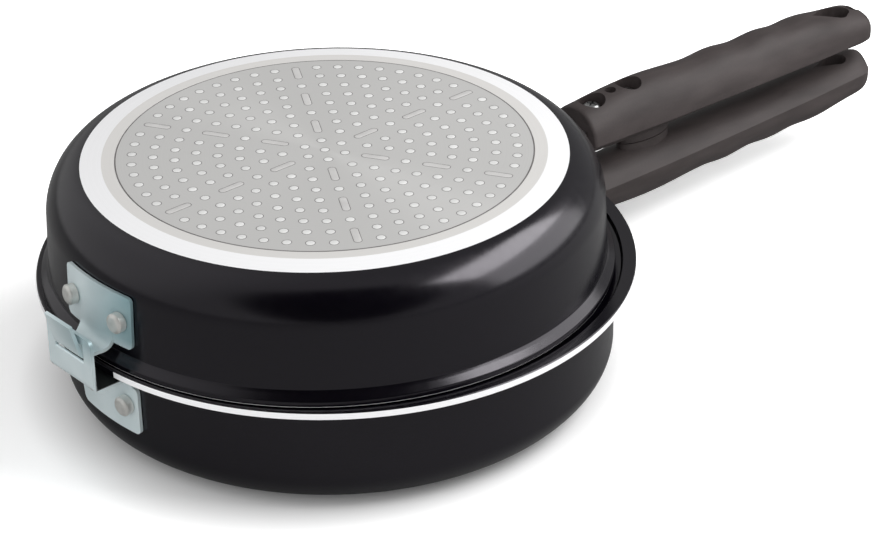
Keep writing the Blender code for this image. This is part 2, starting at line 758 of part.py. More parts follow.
def make_handle(stem, height, droop, outer, tang_plate):
    """Handle, its two screws and its magnet, cut for the tang."""
    place = handle_place(height, droop, outer)
    handle = add_object(f"{stem}_handle", handle_mesh(f"{stem}_handle"), moulding, place)
    # The bosses stay level where a handle droops, so that their faces meet flat.
    face = boss_face_level(height, outer)
    level = handle_place(height, 0, outer)
    boss = rod(f"{stem}_boss", boss_half_width, face, 0, sides=20, centre=(boss_distance, 0),
               stretch=boss_half_length - boss_half_width, place=level, collection=cutters)
    combine(handle, boss, "UNION")
    top = handle_outer_depth + overrun
    low = tang_level - tang_thickness / 2
    high = tang_level + tang_thickness / 2
    slot = block(f"{stem}_tang_slot", (-overrun, -tang_half_width - clearance, low - clearance),
                 (tang_reach + clearance, tang_half_width + clearance, high + clearance),
                 place=place, collection=cutters)
    combine(handle, slot, "DIFFERENCE")
    for index, distance in enumerate(screw_distances, 1):
        where = (distance, 0)
        recess = rod(f"{stem}_recess_{index}", recess_radius, recess_floor_level, top, sides=20,
                     centre=where, place=place, collection=cutters)
        bore = rod(f"{stem}_bore_{index}", screw_shank_radius + clearance, low - 2 * screw_tail,
                   top, sides=12, centre=where, place=place, collection=cutters)
        combine(handle, recess, "DIFFERENCE")
        combine(handle, bore, "DIFFERENCE")
        combine(tang_plate, bore, "DIFFERENCE")
        make_screw(f"{stem}_handle_screw_{index}", distance, low, place)
    middle = sum(screw_distances) / len(screw_distances)
    floor = handle_outer_depth - moulding_hole_depth
    combine(handle, rod(f"{stem}_moulding_hole", moulding_hole_radius, floor, top, sides=12,
                        centre=(middle, 0), place=place, collection=cutters), "DIFFERENCE")
    combine(handle, prism(f"{stem}_hanging_hole", hanging_hole_outline(), 4 * top, place=place,
                          collection=cutters), "DIFFERENCE")
    _, tip_depth, _ = handle_section(tip_recess_distance)
    combine(handle, rod(f"{stem}_tip_recess", tip_recess_radius, tip_depth - tip_recess_depth,
                        top, sides=12, centre=(tip_recess_distance, 0),
                        stretch=tip_recess_stretch, place=place, collection=cutters),
            "DIFFERENCE")
    pocket_top = face + magnet_thickness + 2 * clearance
    combine(handle, rod(f"{stem}_magnet_pocket", magnet_radius + clearance, face - overrun,
                        pocket_top, sides=16, centre=(boss_distance, 0), place=level,
                        collection=cutters), "DIFFERENCE")
    rod(f"{stem}_magnet", magnet_radius, face + clearance, face + clearance + magnet_thickness,
        sides=16, centre=(boss_distance, 0), material=magnet_metal, place=level)
    return handle


def make_screw(name, distance, low, place):
    """Domed screw with a cross drive, from its recess floor down through the tang."""
    seat = recess_floor_level + clearance
    top = seat + screw_head_height
    dome = [(screw_head_radius * out, seat + screw_head_height * up) for out, up in screw_dome_shares]
    profile = [
        (0, top),
        *dome,
        (screw_head_radius, seat),
        (screw_shank_radius, seat),
        (screw_shank_radius, low - screw_tail),
        (0, low - screw_tail),
    ]
    where = place @ Matrix.Translation((distance, 0, 0))
    screw = turned(name, profile, 12, material=screw_steel, place=where)
    arm = screw_head_radius * screw_drive_share
    half = screw_drive_width / 2
    floor = top - screw_drive_depth
    for word, reach_x, reach_y in (("long", arm, half), ("cross", half, arm)):
        drive = block(f"{name}_drive_{word}", (-reach_x, -reach_y, floor),
                      (reach_x, reach_y, top + overrun), place=where, collection=cutters)
        combine(screw, drive, "DIFFERENCE")
    return screw


def make_tang(stem, pan, rim_gap, handle_height, droop):
    """Plate riveted to the wall at +X, with a flat tongue that enters the handle."""
    top = pan.head - rim_gap
    bottom = top - tang_plate_height
    plate = wall_plate(f"{stem}_handle_tang", pan, 1, tang_plate_half_width, bottom, top,
                       tang_plate_thickness, tang_steel)
    wall = wall_radius(pan, (bottom + top) / 2) + clearance + tang_plate_thickness / 2
    wall += pan.place.translation.x
    low = tang_level - tang_thickness / 2
    tongue = block(f"{stem}_tongue", (wall - handle_root_distance, -tang_half_width, low),
                   (tang_reach, tang_half_width, low + tang_thickness),
                   place=handle_place(handle_height, droop, pan.outer), collection=cutters)
    combine(plate, tongue, "UNION")
    return plate


def make_pan_assembly(stem, pan, rim, inner_top, hinge_plate, hinge_rivets, tang_places,
                      handle_height, droop):
    """One pan with everything that is fixed to it."""
    body = make_pan(f"{stem}_pan", pan, rim, inner_top)
    make_disc(f"{stem}_base_disc", pan.place)
    rim_gap, tang_rivet_share = tang_places
    hinge_stem, hinge_rivet_share, offset = hinge_rivets
    rivet_pair(hinge_stem, pan, body, hinge_plate, -1, hinge_rivet_share, offset,
               sheet_thickness)
    tang = make_tang(stem, pan, rim_gap, handle_height, droop)
    rivet_pair(f"{stem}_tang", pan, body, tang, 1, tang_rivet_share, tang_rivet_offset,
               tang_plate_thickness)
    make_handle(stem, handle_height, droop, pan.outer, tang)


make_pan_assembly("lower", lower_shape, lower_rim(),
                  lower_pan_height - rim_top_fall - rim_step_depth - rim_edge_height,
                  make_loop_bracket(), ("loop", loop_rivet_share, loop_rivet_offset),
                  (lower_tang_rim_gap, lower_tang_rivet_share), lower_handle_height,
                  lower_handle_droop)
lower_names = {shape.name for shape in parts.objects}
make_pan_assembly("upper", upper_shape, upper_lip(), upper_pan_height - lip_edge_height,
                  make_hook_bracket(), ("hook", hook_rivet_share, hook_rivet_offset),
                  (upper_tang_lip_gap, upper_tang_rivet_share), upper_handle_height,
                  upper_handle_droop)

# Everything on the upper pan turns about the rounded edge of the loop's bar.
hinge = bpy.data.objects.new("flip_hinge_axis", None)
hinge.location = (-loop_distance, 0, hinge_axis_height())
parts.objects.link(hinge)
bpy.context.view_layer.update()
for piece in parts.objects:
    if piece.type == "MESH" and piece.name not in lower_names:
        piece.parent = hinge
        piece.matrix_parent_inverse = hinge.matrix_world.inverted()
for piece in parts.objects:
    if piece.type == "MESH":
        piece.data.shade_smooth()
        piece.data.set_sharp_from_angle(angle=math.radians(35.0))
bpy.context.view_layer.update()
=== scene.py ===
# %% [markdown]
# # A double sided flip pan, from its frame to its finish
# Two black enamelled pans lie mouth to mouth, joined by a hook and a loop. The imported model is
# the fixed frame: it says where each piece is and what moves. This notebook dresses it with
# fine surfaces, each worked out from a formula with numpy, and with procedural finishes.

# %% Load the frame
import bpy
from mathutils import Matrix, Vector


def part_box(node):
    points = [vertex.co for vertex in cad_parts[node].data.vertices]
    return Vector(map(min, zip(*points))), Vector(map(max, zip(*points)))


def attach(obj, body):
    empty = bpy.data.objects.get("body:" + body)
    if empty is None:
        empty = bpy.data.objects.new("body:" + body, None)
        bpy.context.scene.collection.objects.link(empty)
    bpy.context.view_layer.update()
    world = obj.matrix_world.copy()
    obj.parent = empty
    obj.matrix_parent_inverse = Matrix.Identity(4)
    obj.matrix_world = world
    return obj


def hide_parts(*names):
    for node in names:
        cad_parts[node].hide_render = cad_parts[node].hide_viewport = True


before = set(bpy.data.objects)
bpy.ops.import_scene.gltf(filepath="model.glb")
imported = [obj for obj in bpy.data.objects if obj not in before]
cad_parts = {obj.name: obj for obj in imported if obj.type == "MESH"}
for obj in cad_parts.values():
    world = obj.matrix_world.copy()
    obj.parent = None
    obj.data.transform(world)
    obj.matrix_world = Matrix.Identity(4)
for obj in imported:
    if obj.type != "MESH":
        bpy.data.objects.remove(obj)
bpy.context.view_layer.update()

# %% The modules and the unit
import math
from types import SimpleNamespace

import bmesh
import bpy
import numpy as np
from mathutils import Matrix, Vector

mm = 0.001
print("lengths are in metres, written as a number times mm")

# %% [markdown]
# ## What the frame already knows
# The lower pan stands on the origin. The upper pan is turned over and lies a few millimetres
# towards the hinge, so its own axis is measured here.

# %% Measure the pans in the frame
lower_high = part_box("lower_pan")[1]
upper_low, upper_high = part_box("upper_pan")
rim_radius = lower_high.y
rim_top = lower_high.z
upper_centre = (upper_low.x + upper_high.x) / 2
lip_radius = upper_high.y
print(f"rim radius {rim_radius:.4f}, lip radius {lip_radius:.4f}, upper axis at {upper_centre:.4f}")

# %% Sizes that both pans share
base_flat_radius = 89.5 * mm
bevel_radius = 98.4 * mm
bevel_drop = 1.1 * mm
shoulder_radius = 96.4 * mm
shoulder_rise = 0.9 * mm
shoulder_roundness = 1.857
wall_mouth_radius = 114.0 * mm
wall_thickness = 2.6 * mm
floor_thickness = 4.2 * mm
inner_corner_radius = 15.0 * mm
recess_radius = 84.2 * mm
recess_depth = 1.1 * mm
rim_edge_height = 3.1 * mm
seam_gap = 0.3 * mm
bevel_round = 0.25 * mm
flat_round = 0.3 * mm
recess_round = 0.15 * mm
turning_steps = 288
floor_steps, corner_steps, shoulder_steps = 8, 14, 40
print("turned pieces have", turning_steps, "steps round")

# %% [markdown]
# The two pans differ in a few sizes and in where they lie, so these are kept together for each
# pan. Its section is measured from its axis, at centre, and from its base, with heights running
# up or down. Its handle's root has a height, a droop and an outer side, which faces up or down.

# %% Facts of each pan
lower = SimpleNamespace(
    stem="lower", centre=0.0, base=0.0, up=1, mouth=rim_top - rim_edge_height,
    foot_radius=113.8 * mm, shoulder_height=15.8 * mm,
    handle_height=35.5 * mm, droop=0.0, outer=-1, tang_low=22.0 * mm)
upper = SimpleNamespace(
    stem="upper", centre=upper_centre, base=upper_high.z, up=-1, mouth=upper_high.z - upper_low.z,
    foot_radius=112.8 * mm, shoulder_height=18.4 * mm,
    handle_height=58.7 * mm, droop=math.radians(1.82), outer=1, tang_low=58.0 * mm)
pans = (lower, upper)
print("pans:", [pan.stem for pan in pans])

# %% [markdown]
# ## Surfaces from arrays
# Every new piece is a grid of points: rows along a profile or a path, columns round it or
# across it. The faces join neighbours in the grid, so they are worked out from the row and
# column numbers alone. Where a row shrinks to a point, its copies are merged afterwards.

# %% Faces of a grid
def grid_faces(rows, columns, wrap=False):
    """Face (i, j) joins points (i, j), (i, j+1), (i+1, j+1) and (i+1, j)."""
    across = np.arange(columns if wrap else columns - 1)
    row, column = np.meshgrid(np.arange(rows - 1), across, indexing="ij")
    after = (column + 1) % columns
    corners = [row * columns + column, row * columns + after,
               (row + 1) * columns + after, (row + 1) * columns + column]
    return np.stack(corners, axis=-1).reshape(-1, 4)


def joined(*patches):
    """Puts several (points, faces) patches into one."""
    points, faces, start = [], [], 0
    for patch_points, patch_faces in patches:
        points.append(patch_points.reshape(-1, 3))
        faces.append(patch_faces + start)
        start += len(points[-1])
    return np.concatenate(points), np.concatenate(faces)


print("a 3 by 4 grid has", len(grid_faces(3, 4)), "faces")

# %% From arrays to a piece
merge_distance = 0.001 * mm
bevel_segments = 2


def clean(mesh, distance=merge_distance):
    """Merges points closer than the distance and turns all faces outwards."""
    shape = bmesh.new()
    shape.from_mesh(mesh)
    bmesh.ops.remove_doubles(shape, verts=shape.verts, dist=distance)
    bmesh.ops.recalc_face_normals(shape, faces=shape.faces)
    shape.to_mesh(mesh)
    shape.free()
    mesh.shade_smooth()


def add_to_scene(name, data):
    """An object for a mesh, a lamp or a camera."""
    made = bpy.data.objects.new(name, data)
    bpy.context.scene.collection.objects.link(made)
    return made


def new_object(name, points, faces, zones=None):
    """A mesh object from arrays. Zones hold the number of each face's finish."""
    mesh = bpy.data.meshes.new(name)
    mesh.from_pydata(np.reshape(points, (-1, 3)).tolist(), [], [list(face) for face in faces])
    if zones is not None:
        mesh.polygons.foreach_set("material_index", np.asarray(zones, dtype=np.int32))
    clean(mesh)
    return add_to_scene(name, mesh)


def dress(piece, pan, slot, finishes, *nodes):
    """Gives a piece its body and finishes, and hides the nodes it stands for. The slot is not used.
    """
    for finish in finishes:
        piece.data.materials.append(finish)
    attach(piece, pan.stem)
    if nodes:
        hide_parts(*nodes)
    print(f"{piece.name}: {len(piece.data.polygons)} faces on {pan.stem}")


def soften(piece, width, limit=35.0):
    """Rounds edges that are sharper than the limit in degrees."""
    bevel = piece.modifiers.new("round_edges", "BEVEL")
    bevel.width = width
    bevel.segments = bevel_segments
    bevel.limit_method = "ANGLE"
    bevel.angle_limit = math.radians(limit)
    bevel.harden_normals = True


def flatten(piece):
    """Weighted normals: flat faces stay flat up to their rounded edges."""
    piece.modifiers.new("even_shading", "WEIGHTED_NORMAL")


def thicken(piece, thickness, even=True):
    """Gives a sheet its thickness, half to each side."""
    solid = piece.modifiers.new("sheet", "SOLIDIFY")
    solid.thickness = thickness
    solid.offset = 0.0
    solid.use_even_offset = even


print("pieces are merged within", merge_distance, "m")

# %% [markdown]
# ## Cutting
# Windows, recesses and holes are cut with Boolean modifiers, which are applied at once, so that
# no cutter stays in the scene. A cutter is a flat outline given a depth.

# %% Prisms and cuts
sliver = 0.03 * mm


def prism(outline, low, high):
    """Outline points (x, y), once at the low level and once at the high one, with both ends."""
    count = len(outline)
    points = np.concatenate([np.column_stack([outline, np.full(count, level)])
                             for level in (low, high)])
    sides = grid_faces(2, count, wrap=True).tolist()
    return points, sides + [list(range(count)), list(range(count, 2 * count))]


def oval(half_length, half_width, centre=0.0, count=48):
    """Two half circles of the half width, pulled apart along x to the half length."""
    angle = np.linspace(0, 2 * np.pi, count, endpoint=False) + np.pi / count
    shift = half_length - half_width
    along = centre + half_width * np.cos(angle) + shift * np.sign(np.cos(angle))
    return np.column_stack([along, half_width * np.sin(angle)])


def box_outline(low_x, high_x, half_width):
    """Four corners, even on both sides of the x axis."""
    return [(low_x, -half_width), (high_x, -half_width), (high_x, half_width), (low_x, half_width)]


def cut(piece, patch, place=Matrix.Identity(4), operation="DIFFERENCE"):
    """Cuts a prism out of a piece, or adds it, and keeps only the finished mesh."""
    cutter = new_object(piece.name + "_cutter", *patch)
    cutter.data.transform(place)
    clean(cutter.data)
    boolean = piece.modifiers.new("cut", "BOOLEAN")
    boolean.operation = operation
    boolean.solver = "EXACT"
    boolean.object = cutter
    bpy.context.view_layer.update()
    seen = piece.evaluated_get(bpy.context.evaluated_depsgraph_get())
    finished = bpy.data.meshes.new_from_object(seen)
    clean(finished, sliver)
    piece.modifiers.clear()
    piece.data = finished
    bpy.data.objects.remove(cutter, do_unlink=True)


print("cutters are removed as soon as they have cut")

# %% [markdown]
# ## Finishes
# Each finish is a Principled shader. What is the same all over is set on the shader itself, and
# only what varies comes from nodes: a pattern on Object coordinates, in metres, so that grain
# and turning marks have their real size and stay put when the pan opens.

# %% Node helpers
def add_node(tree, kind, inputs=None, **options):
    """Adds a shader node, sets its options, and sets or links its inputs."""
    made = tree.nodes.new("ShaderNode" + kind)
    for option, value in options.items():
        setattr(made, option, value)
    for socket, value in (inputs or {}).items():
        if isinstance(value, bpy.types.NodeSocket):
            tree.links.new(value, made.inputs[socket])
        else:
            made.inputs[socket].default_value = value
    return made


def combine(tree, operation, first, second):
    """A number from two others."""
    return add_node(tree, "Math", {0: first, 1: second}, operation=operation).outputs[0]


def vectors(tree, operation, first, second=(0, 0, 0), result=0):
    """A vector, or a number where the result is Value, from one or two vectors."""
    made = add_node(tree, "VectorMath", {0: first, 1: second}, operation=operation)
    return made.outputs[result]


def ramp(tree, value, start, end, low=0.0, high=1.0, kind="LINEAR"):
    """Turns values from start to end into values from low to high, and stops there."""
    inputs = {"Value": value, "From Min": start, "From Max": end, "To Min": low, "To Max": high}
    return add_node(tree, "MapRange", inputs, interpolation_type=kind).outputs["Result"]


def blend(tree, factor, first, second):
    """Mixes two colours by a factor from 0 to 1."""
    first, second = ((*tone, 1) if isinstance(tone, tuple) else tone for tone in (first, second))
    return add_node(tree, "Mix", {0: factor, 6: first, 7: second}, data_type="RGBA").outputs[2]


def blend_values(tree, factor, first, second):
    """Mixes two numbers by a factor from 0 to 1."""
    return add_node(tree, "Mix", {0: factor, 2: first, 3: second}, data_type="FLOAT").outputs[0]


print("node helpers ready")

# %% Patterns, and the finish that they make
def object_place(tree, centre_x=0.0, stretch=(1, 1, 1)):
    """Object coordinates measured from a centre and stretched along the axes."""
    place = add_node(tree, "TexCoord").outputs["Object"]
    return vectors(tree, "MULTIPLY", vectors(tree, "SUBTRACT", place, (centre_x, 0, 0)), stretch)


def grain(tree, place, size, detail=3.0, roughness=0.5):
    """Noise whose features are about the given size across."""
    return add_node(tree, "TexNoise", {"Vector": place, "Scale": 1 / size, "Detail": detail,
                                       "Roughness": roughness}).outputs["Fac"]


def from_the_axis(tree, pan, operation, result):
    """How far each point is from a pan's axis, or in which direction: (x, y, 0)."""
    flat = object_place(tree, pan.centre, (1, 1, 0))
    return vectors(tree, operation, flat, result=result)


def rings(tree, pan, width):
    """Noise that depends only on the distance from a pan's axis, as turning marks do."""
    distance = from_the_axis(tree, pan, "LENGTH", "Value")
    return add_node(tree, "TexNoise", {"W": distance, "Scale": 1 / width, "Detail": 2.0},
                    noise_dimensions="1D").outputs["Fac"]


def spread(tree, pattern, low, high):
    """Turns a noise pattern, mostly between 0.3 and 0.7, into values from low to high."""
    return ramp(tree, pattern, 0.3, 0.7, low, high)


def new_finish(name, values):
    """A material with its constant values on the Principled shader's own sockets."""
    material = bpy.data.materials.new(name)
    material.use_nodes = True
    shader = material.node_tree.nodes["Principled BSDF"]
    for socket, value in values.items():
        shader.inputs[socket].default_value = value
    return material, material.node_tree, shader


def vary(tree, shader, colour, dull, bumps, depth):
    """Links a colour, a roughness from (pattern, low, high), and bumps of a depth."""
    tree.links.new(colour, shader.inputs["Base Color"])
    tree.links.new(spread(tree, *dull), shader.inputs["Roughness"])
    bump = add_node(tree, "Bump", {"Height": bumps, "Distance": depth, "Strength": 1.0})
    tree.links.new(bump.outputs["Normal"], shader.inputs["Normal"])


print("patterns ready")

# %% [markdown]
# ### Black enamel
# The outside is sprayed and baked enamel: almost black, glossy, with the faint ripple that such
# a coat dries to. The ripple is a few millimetres across and hundredths of a millimetre high,
# just enough to soften the reflections' edges.

# %% Enamel and the coating inside
enamel_colour = (0.0020, 0.0014, 0.0036)
enamel_shade = 0.8
enamel_dull = (0.18, 0.22)
enamel_cloud = 25 * mm
ripple_size = 4 * mm
ripple_depth = 0.006 * mm
cool_gloss = (0.97, 0.93, 1.0, 1)
coating_tones = ((0.018, 0.018, 0.019), (0.10, 0.10, 0.10))
coating_dull = (0.34, 0.44)
coating_cloud = 30 * mm
fleck_size = 0.9 * mm
fleck_depth = 0.01 * mm
# The flecks' noise turns from dark to pale between these values.
fleck_edge = (0.62, 0.7)


def shaded(colour, share):
    """The same colour with less light."""
    return tuple(share * part for part in colour)


def make_enamel():
    material, tree, shader = new_finish("black_enamel", {"IOR": 1.6, "Specular Tint": cool_gloss})
    place = object_place(tree)
    ripple = grain(tree, place, ripple_size, detail=1.0)
    cloud = grain(tree, place, enamel_cloud)
    vary(tree, shader, blend(tree, cloud, shaded(enamel_colour, enamel_shade), enamel_colour),
         (ripple, *enamel_dull), ripple, ripple_depth)
    return material


def make_coating():
    """Non-stick coating: dark grey, satin, with fine pale flecks."""
    material, tree, shader = new_finish("non_stick_coating", {"IOR": 1.38})
    place = object_place(tree)
    flecks = grain(tree, place, fleck_size, detail=4.0, roughness=0.7)
    cloud = grain(tree, place, coating_cloud)
    vary(tree, shader, blend(tree, ramp(tree, flecks, *fleck_edge), *coating_tones),
         (cloud, *coating_dull), flecks, fleck_depth)
    return material


enamel = make_enamel()
coating = make_coating()
print("made", enamel.name, "and", coating.name)

# %% [markdown]
# ### Bare turned aluminium
# The base ring and the lower rim's edge are turned bright after the enamel is baked. Their marks
# run round the axis, so the pattern is noise along the radius only.

# %% Turned metal
# Colour, roughness, metallic and the width of the marks.
bright_facts = ((0.95, 0.95, 0.96), 0.40, 0.05, 0.5 * mm)
machined_facts = ((0.77, 0.755, 0.735), 0.45, 0.15, 0.8 * mm)
metal_ior = 1.25
mark_shade = 0.93
mark_depth = 0.004 * mm
turned_cloud = 18 * mm


def make_turned_metal(name, pan, colour, dull, metallic, mark_width):
    """The marks are a little darker and lower than the rest."""
    material, tree, shader = new_finish(name, {"Metallic": metallic, "IOR": metal_ior})
    marks = rings(tree, pan, mark_width)
    cloud = grain(tree, object_place(tree), turned_cloud)
    vary(tree, shader, blend(tree, marks, shaded(colour, mark_shade), colour),
         (cloud, 0.9 * dull, 1.1 * dull), marks, mark_depth)
    return material


for pan, word in ((lower, "bright_edge"), (upper, "bright_ring")):
    pan.bright = make_turned_metal(f"{word}_{pan.stem}", pan, *bright_facts)
    pan.machined = make_turned_metal(f"machined_ring_{pan.stem}", pan, *machined_facts)
print("made turned metal for both pans")

# %% [markdown]
# ### The base disc's steel
# The disc is stamped from stainless sheet and polished round its middle. The fine scratches run
# in circles, which spreads its highlight across them, into a wedge. Anisotropy does this: its
# tangent at a point is the direction away from the axis, (x, y, 0), from Object coordinates.

# %% Disc steel
disc_steel_values = {"Metallic": 0.15, "Anisotropic": 0.9, "IOR": metal_ior}
disc_steel_tones = ((0.555, 0.55, 0.54), (0.605, 0.60, 0.59))
disc_steel_dull = (0.32, 0.38)
polish_size = 30 * mm
scratch_width = 0.35 * mm
scratch_depth = 0.002 * mm


def make_disc_steel(pan):
    """Scratches in circles, under large soft clouds of polish."""
    material, tree, shader = new_finish(f"disc_steel_{pan.stem}", disc_steel_values)
    scratches = rings(tree, pan, scratch_width)
    polish = grain(tree, object_place(tree, pan.centre), polish_size)
    vary(tree, shader, blend(tree, scratches, *disc_steel_tones), (polish, *disc_steel_dull),
         scratches, scratch_depth)
    tree.links.new(from_the_axis(tree, pan, "NORMALIZE", 0), shader.inputs["Tangent"])
    return material


for pan in pans:
    pan.disc_steel = make_disc_steel(pan)
print("made", upper.disc_steel.name)

# %% [markdown]
# ### Plain metals
# The plates, rivets, screws, tangs and magnets, and the fills of the disc's holes, have no turning
# marks. So one function makes them all from a table: soft clouds between two tones, which also
# change the roughness, and a finer grain for the bumps.

# %% Plain metals
# Two tones, roughness, metallic, the size of the clouds and the depth of the grain in mm.
metal_facts = {
    "pressed_aluminium": ((0.74, 0.74, 0.73), (0.84, 0.84, 0.83), 0.50, 0.1, 6, 0.004),
    "pressed_steel": ((0.64, 0.63, 0.62), (0.70, 0.69, 0.68), 0.45, 0.2, 6, 0.004),
    # Dark seams round the fills, partly painted shade, and a painted shadow round the disc.
    "seam_and_painted_shade": ((0.16, 0.15, 0.15), (0.24, 0.23, 0.23), 0.6, 0.3, 6, 0.002),
    "zinc_plate": ((0.72, 0.83, 0.85), (0.82, 0.92, 0.94), 0.34, 0.35, 14, 0.002),
    "rivet_aluminium": ((0.66, 0.66, 0.63), (0.80, 0.80, 0.77), 0.36, 0.6, 3, 0.02),
    "tang_steel": ((0.45, 0.45, 0.46), (0.58, 0.58, 0.60), 0.36, 1.0, 8, 0.006),
    "screw_steel": ((0.30, 0.30, 0.30), (0.42, 0.42, 0.42), 0.30, 1.0, 3, 0.004),
    "magnet_nickel": ((0.55, 0.54, 0.52), (0.68, 0.67, 0.64), 0.2, 1.0, 4, 0.003),
}
# Each painted shade fades in from the first to the second place along its axes, in mm: a darker
# teal on the hook towards -y and up, a painted reflection, and painted shade in the hollow
# between the loop, its shelf and the wall.
painted_shades = {"zinc_plate": (
    # Painted reflection: darker teal on the hook towards -y and up.
    ((0.28, 0.42, 0.45), (("Y", 8, -20), ("Z", 58, 66))),
    # Painted shade in the hollow between the loop, its shelf and the wall.
    ((0.035, 0.040, 0.040), (("X", -131.3, -130.5), ("X", -117.4, -119.0), ("Z", 46.7, 47.0),
                             ("Z", 55, 50))),
)}
grain_share = 1 / 12


def make_plain_metal(name, first, second, dull, metallic, size, depth):
    """Metal with a cloudy colour between two tones, any painted shade, and fine uneven grain."""
    material, tree, shader = new_finish(name, {"Metallic": metallic})
    place = object_place(tree)
    cloud = grain(tree, place, size * mm, detail=4.0)
    colour = blend(tree, spread(tree, cloud, 0.0, 1.0), first, second)
    # Painted shade: each listed colour is blended in where all its ramps rise.
    for tone, fades in painted_shades.get(name, ()):
        share = 1.0
        for axis, start, end in fades:
            along = add_node(tree, "SeparateXYZ", {0: place}).outputs[axis]
            share = combine(tree, "MULTIPLY", ramp(tree, along, start * mm, end * mm), share)
        colour = blend(tree, share, colour, tone)
    vary(tree, shader, colour, (cloud, 0.85 * dull, 1.15 * dull),
         grain(tree, place, size * mm * grain_share), depth * mm)
    return material


metals = {name: make_plain_metal(name, *facts) for name, facts in metal_facts.items()}
print("made", len(metals), "plain metals")

# %% [markdown]
# ### Moulded handles
# The handles are hot-pressed phenolic: a warm black that is never quite even, satin from the
# mould, with a faint flow of filler along the handle. Stretching the noise along x gives the
# flow, and a finer one gives the skin.

# %% Handle moulding
moulding_tones = ((0.032, 0.0255, 0.0250), (0.062, 0.0505, 0.0495))
moulding_dull = (0.50, 0.62)
flow_size = 7 * mm
flow_stretch = (0.25, 1, 1)
skin_size = 0.8 * mm
skin_depth = 0.025 * mm
skin_share = 0.35


def make_moulding():
    material, tree, shader = new_finish("moulded_phenolic", {"IOR": 1.36})
    flow = grain(tree, object_place(tree, stretch=flow_stretch), flow_size, detail=4.0)
    skin = grain(tree, object_place(tree), skin_size)
    factor = spread(tree, blend_values(tree, skin_share, flow, skin), 0.0, 1.0)
    vary(tree, shader, blend(tree, factor, *moulding_tones), (skin, *moulding_dull), skin,
         skin_depth)
    return material


moulding = make_moulding()
print("made", moulding.name)

# %% [markdown]
# ## Turned profiles
# A pan is turned, so its whole form is one profile of radius and height swept round an axis. The
# outside shoulder is a superellipse, which is fuller than a quarter circle. Real turned corners
# are never sharp: each one is replaced by a short parabola, which catches a thin line of light.

# %% Rounding the corners of a profile
def rounded(corners, count=5):
    """Corners are rows of (radius, height, cut). Each corner P becomes the curve
    (1-s)^2 A + 2 s (1-s) P + s^2 B, where A and B lie the cut before and after it."""
    corners = np.asarray(corners, dtype=float)
    place, reach = corners[:, :2], corners[:, 2:3]
    step = np.diff(place, axis=0)
    step /= np.linalg.norm(step, axis=1, keepdims=True)
    before = (place - reach * np.vstack([step[:1], step]))[:, None]
    after = (place + reach * np.vstack([step, step[-1:]]))[:, None]
    s = np.linspace(0, 1, count)[None, :, None]
    curve = (1 - s) ** 2 * before + 2 * s * (1 - s) * place[:, None] + s ** 2 * after
    points = curve.reshape(-1, 2)
    kept = np.append(np.linalg.norm(np.diff(points, axis=0), axis=1) > merge_distance, True)
    return points[kept]


def spun(profile, centre_x=0.0, base=0.0, up=1, steps=turning_steps):
    """x = centre + r cos a, y = r sin a, z = base + up h, for the angle a all the way round."""
    angle = np.linspace(0, 2 * np.pi, steps, endpoint=False)
    radius, height = profile[:, :1], profile[:, 1:2]
    points = np.stack([centre_x + radius * np.cos(angle), radius * np.sin(angle),
                       np.broadcast_to(base + up * height, (len(profile), steps))], axis=-1)
    return points, grid_faces(len(profile), steps, wrap=True)


def smooth_points(radii, heights):
    """Profile points that need no rounding: their cut is zero."""
    return np.column_stack([radii, heights, np.zeros(len(radii))])


print("a profile is an array of radius, height and cut")

# %% The section of a pan
def wall_radius(pan, height):
    """The wall widens evenly from its foot to its mouth."""
    foot = shoulder_rise + pan.shoulder_height
    widening = wall_mouth_radius - pan.foot_radius
    return pan.foot_radius + widening * (height - foot) / (pan.mouth - foot)


def inner_bowl(pan, inner_top):
    """Floor, a quarter circle at the corner, and the wall's inner face up to inner_top."""
    corner_height = floor_thickness + inner_corner_radius
    side = wall_radius(pan, corner_height) - wall_thickness
    angle = np.linspace(-np.pi / 2, 0, corner_steps)
    radii = side - inner_corner_radius + inner_corner_radius * np.cos(angle)
    heights = corner_height + inner_corner_radius * np.sin(angle)
    floor = np.linspace(0, radii[0], floor_steps)[:-1]
    top = wall_radius(pan, inner_top) - wall_thickness
    return smooth_points(np.concatenate([floor, radii, [top]]),
                         np.concatenate([0 * floor + heights[0], heights, [inner_top]]))


def outer_shoulder(pan):
    """Superellipse: radius grows with sin(a)^(2/p), height with 1 - cos(a)^(2/p)."""
    angle = np.linspace(np.pi / 2, 0, shoulder_steps)
    power = 2 / shoulder_roundness
    radii = shoulder_radius + (pan.foot_radius - shoulder_radius) * np.sin(angle) ** power
    heights = shoulder_rise + pan.shoulder_height * (1 - np.cos(angle) ** power)
    kept = (heights > bevel_drop) & (radii > bevel_radius)
    return smooth_points(radii[kept], heights[kept])


base_section = [
    (bevel_radius, bevel_drop, bevel_round),
    (base_flat_radius, 0, flat_round),
    (recess_radius, 0, recess_round),
    (recess_radius, recess_depth, 0),
    (0, recess_depth, 0),
]
print("the base section has", len(base_section), "corners")

# %% A whole pan and its finishes
coated, bright, machined = 1, 2, 3
bevel_margin = 0.05 * mm
flat_margin = 0.01 * mm


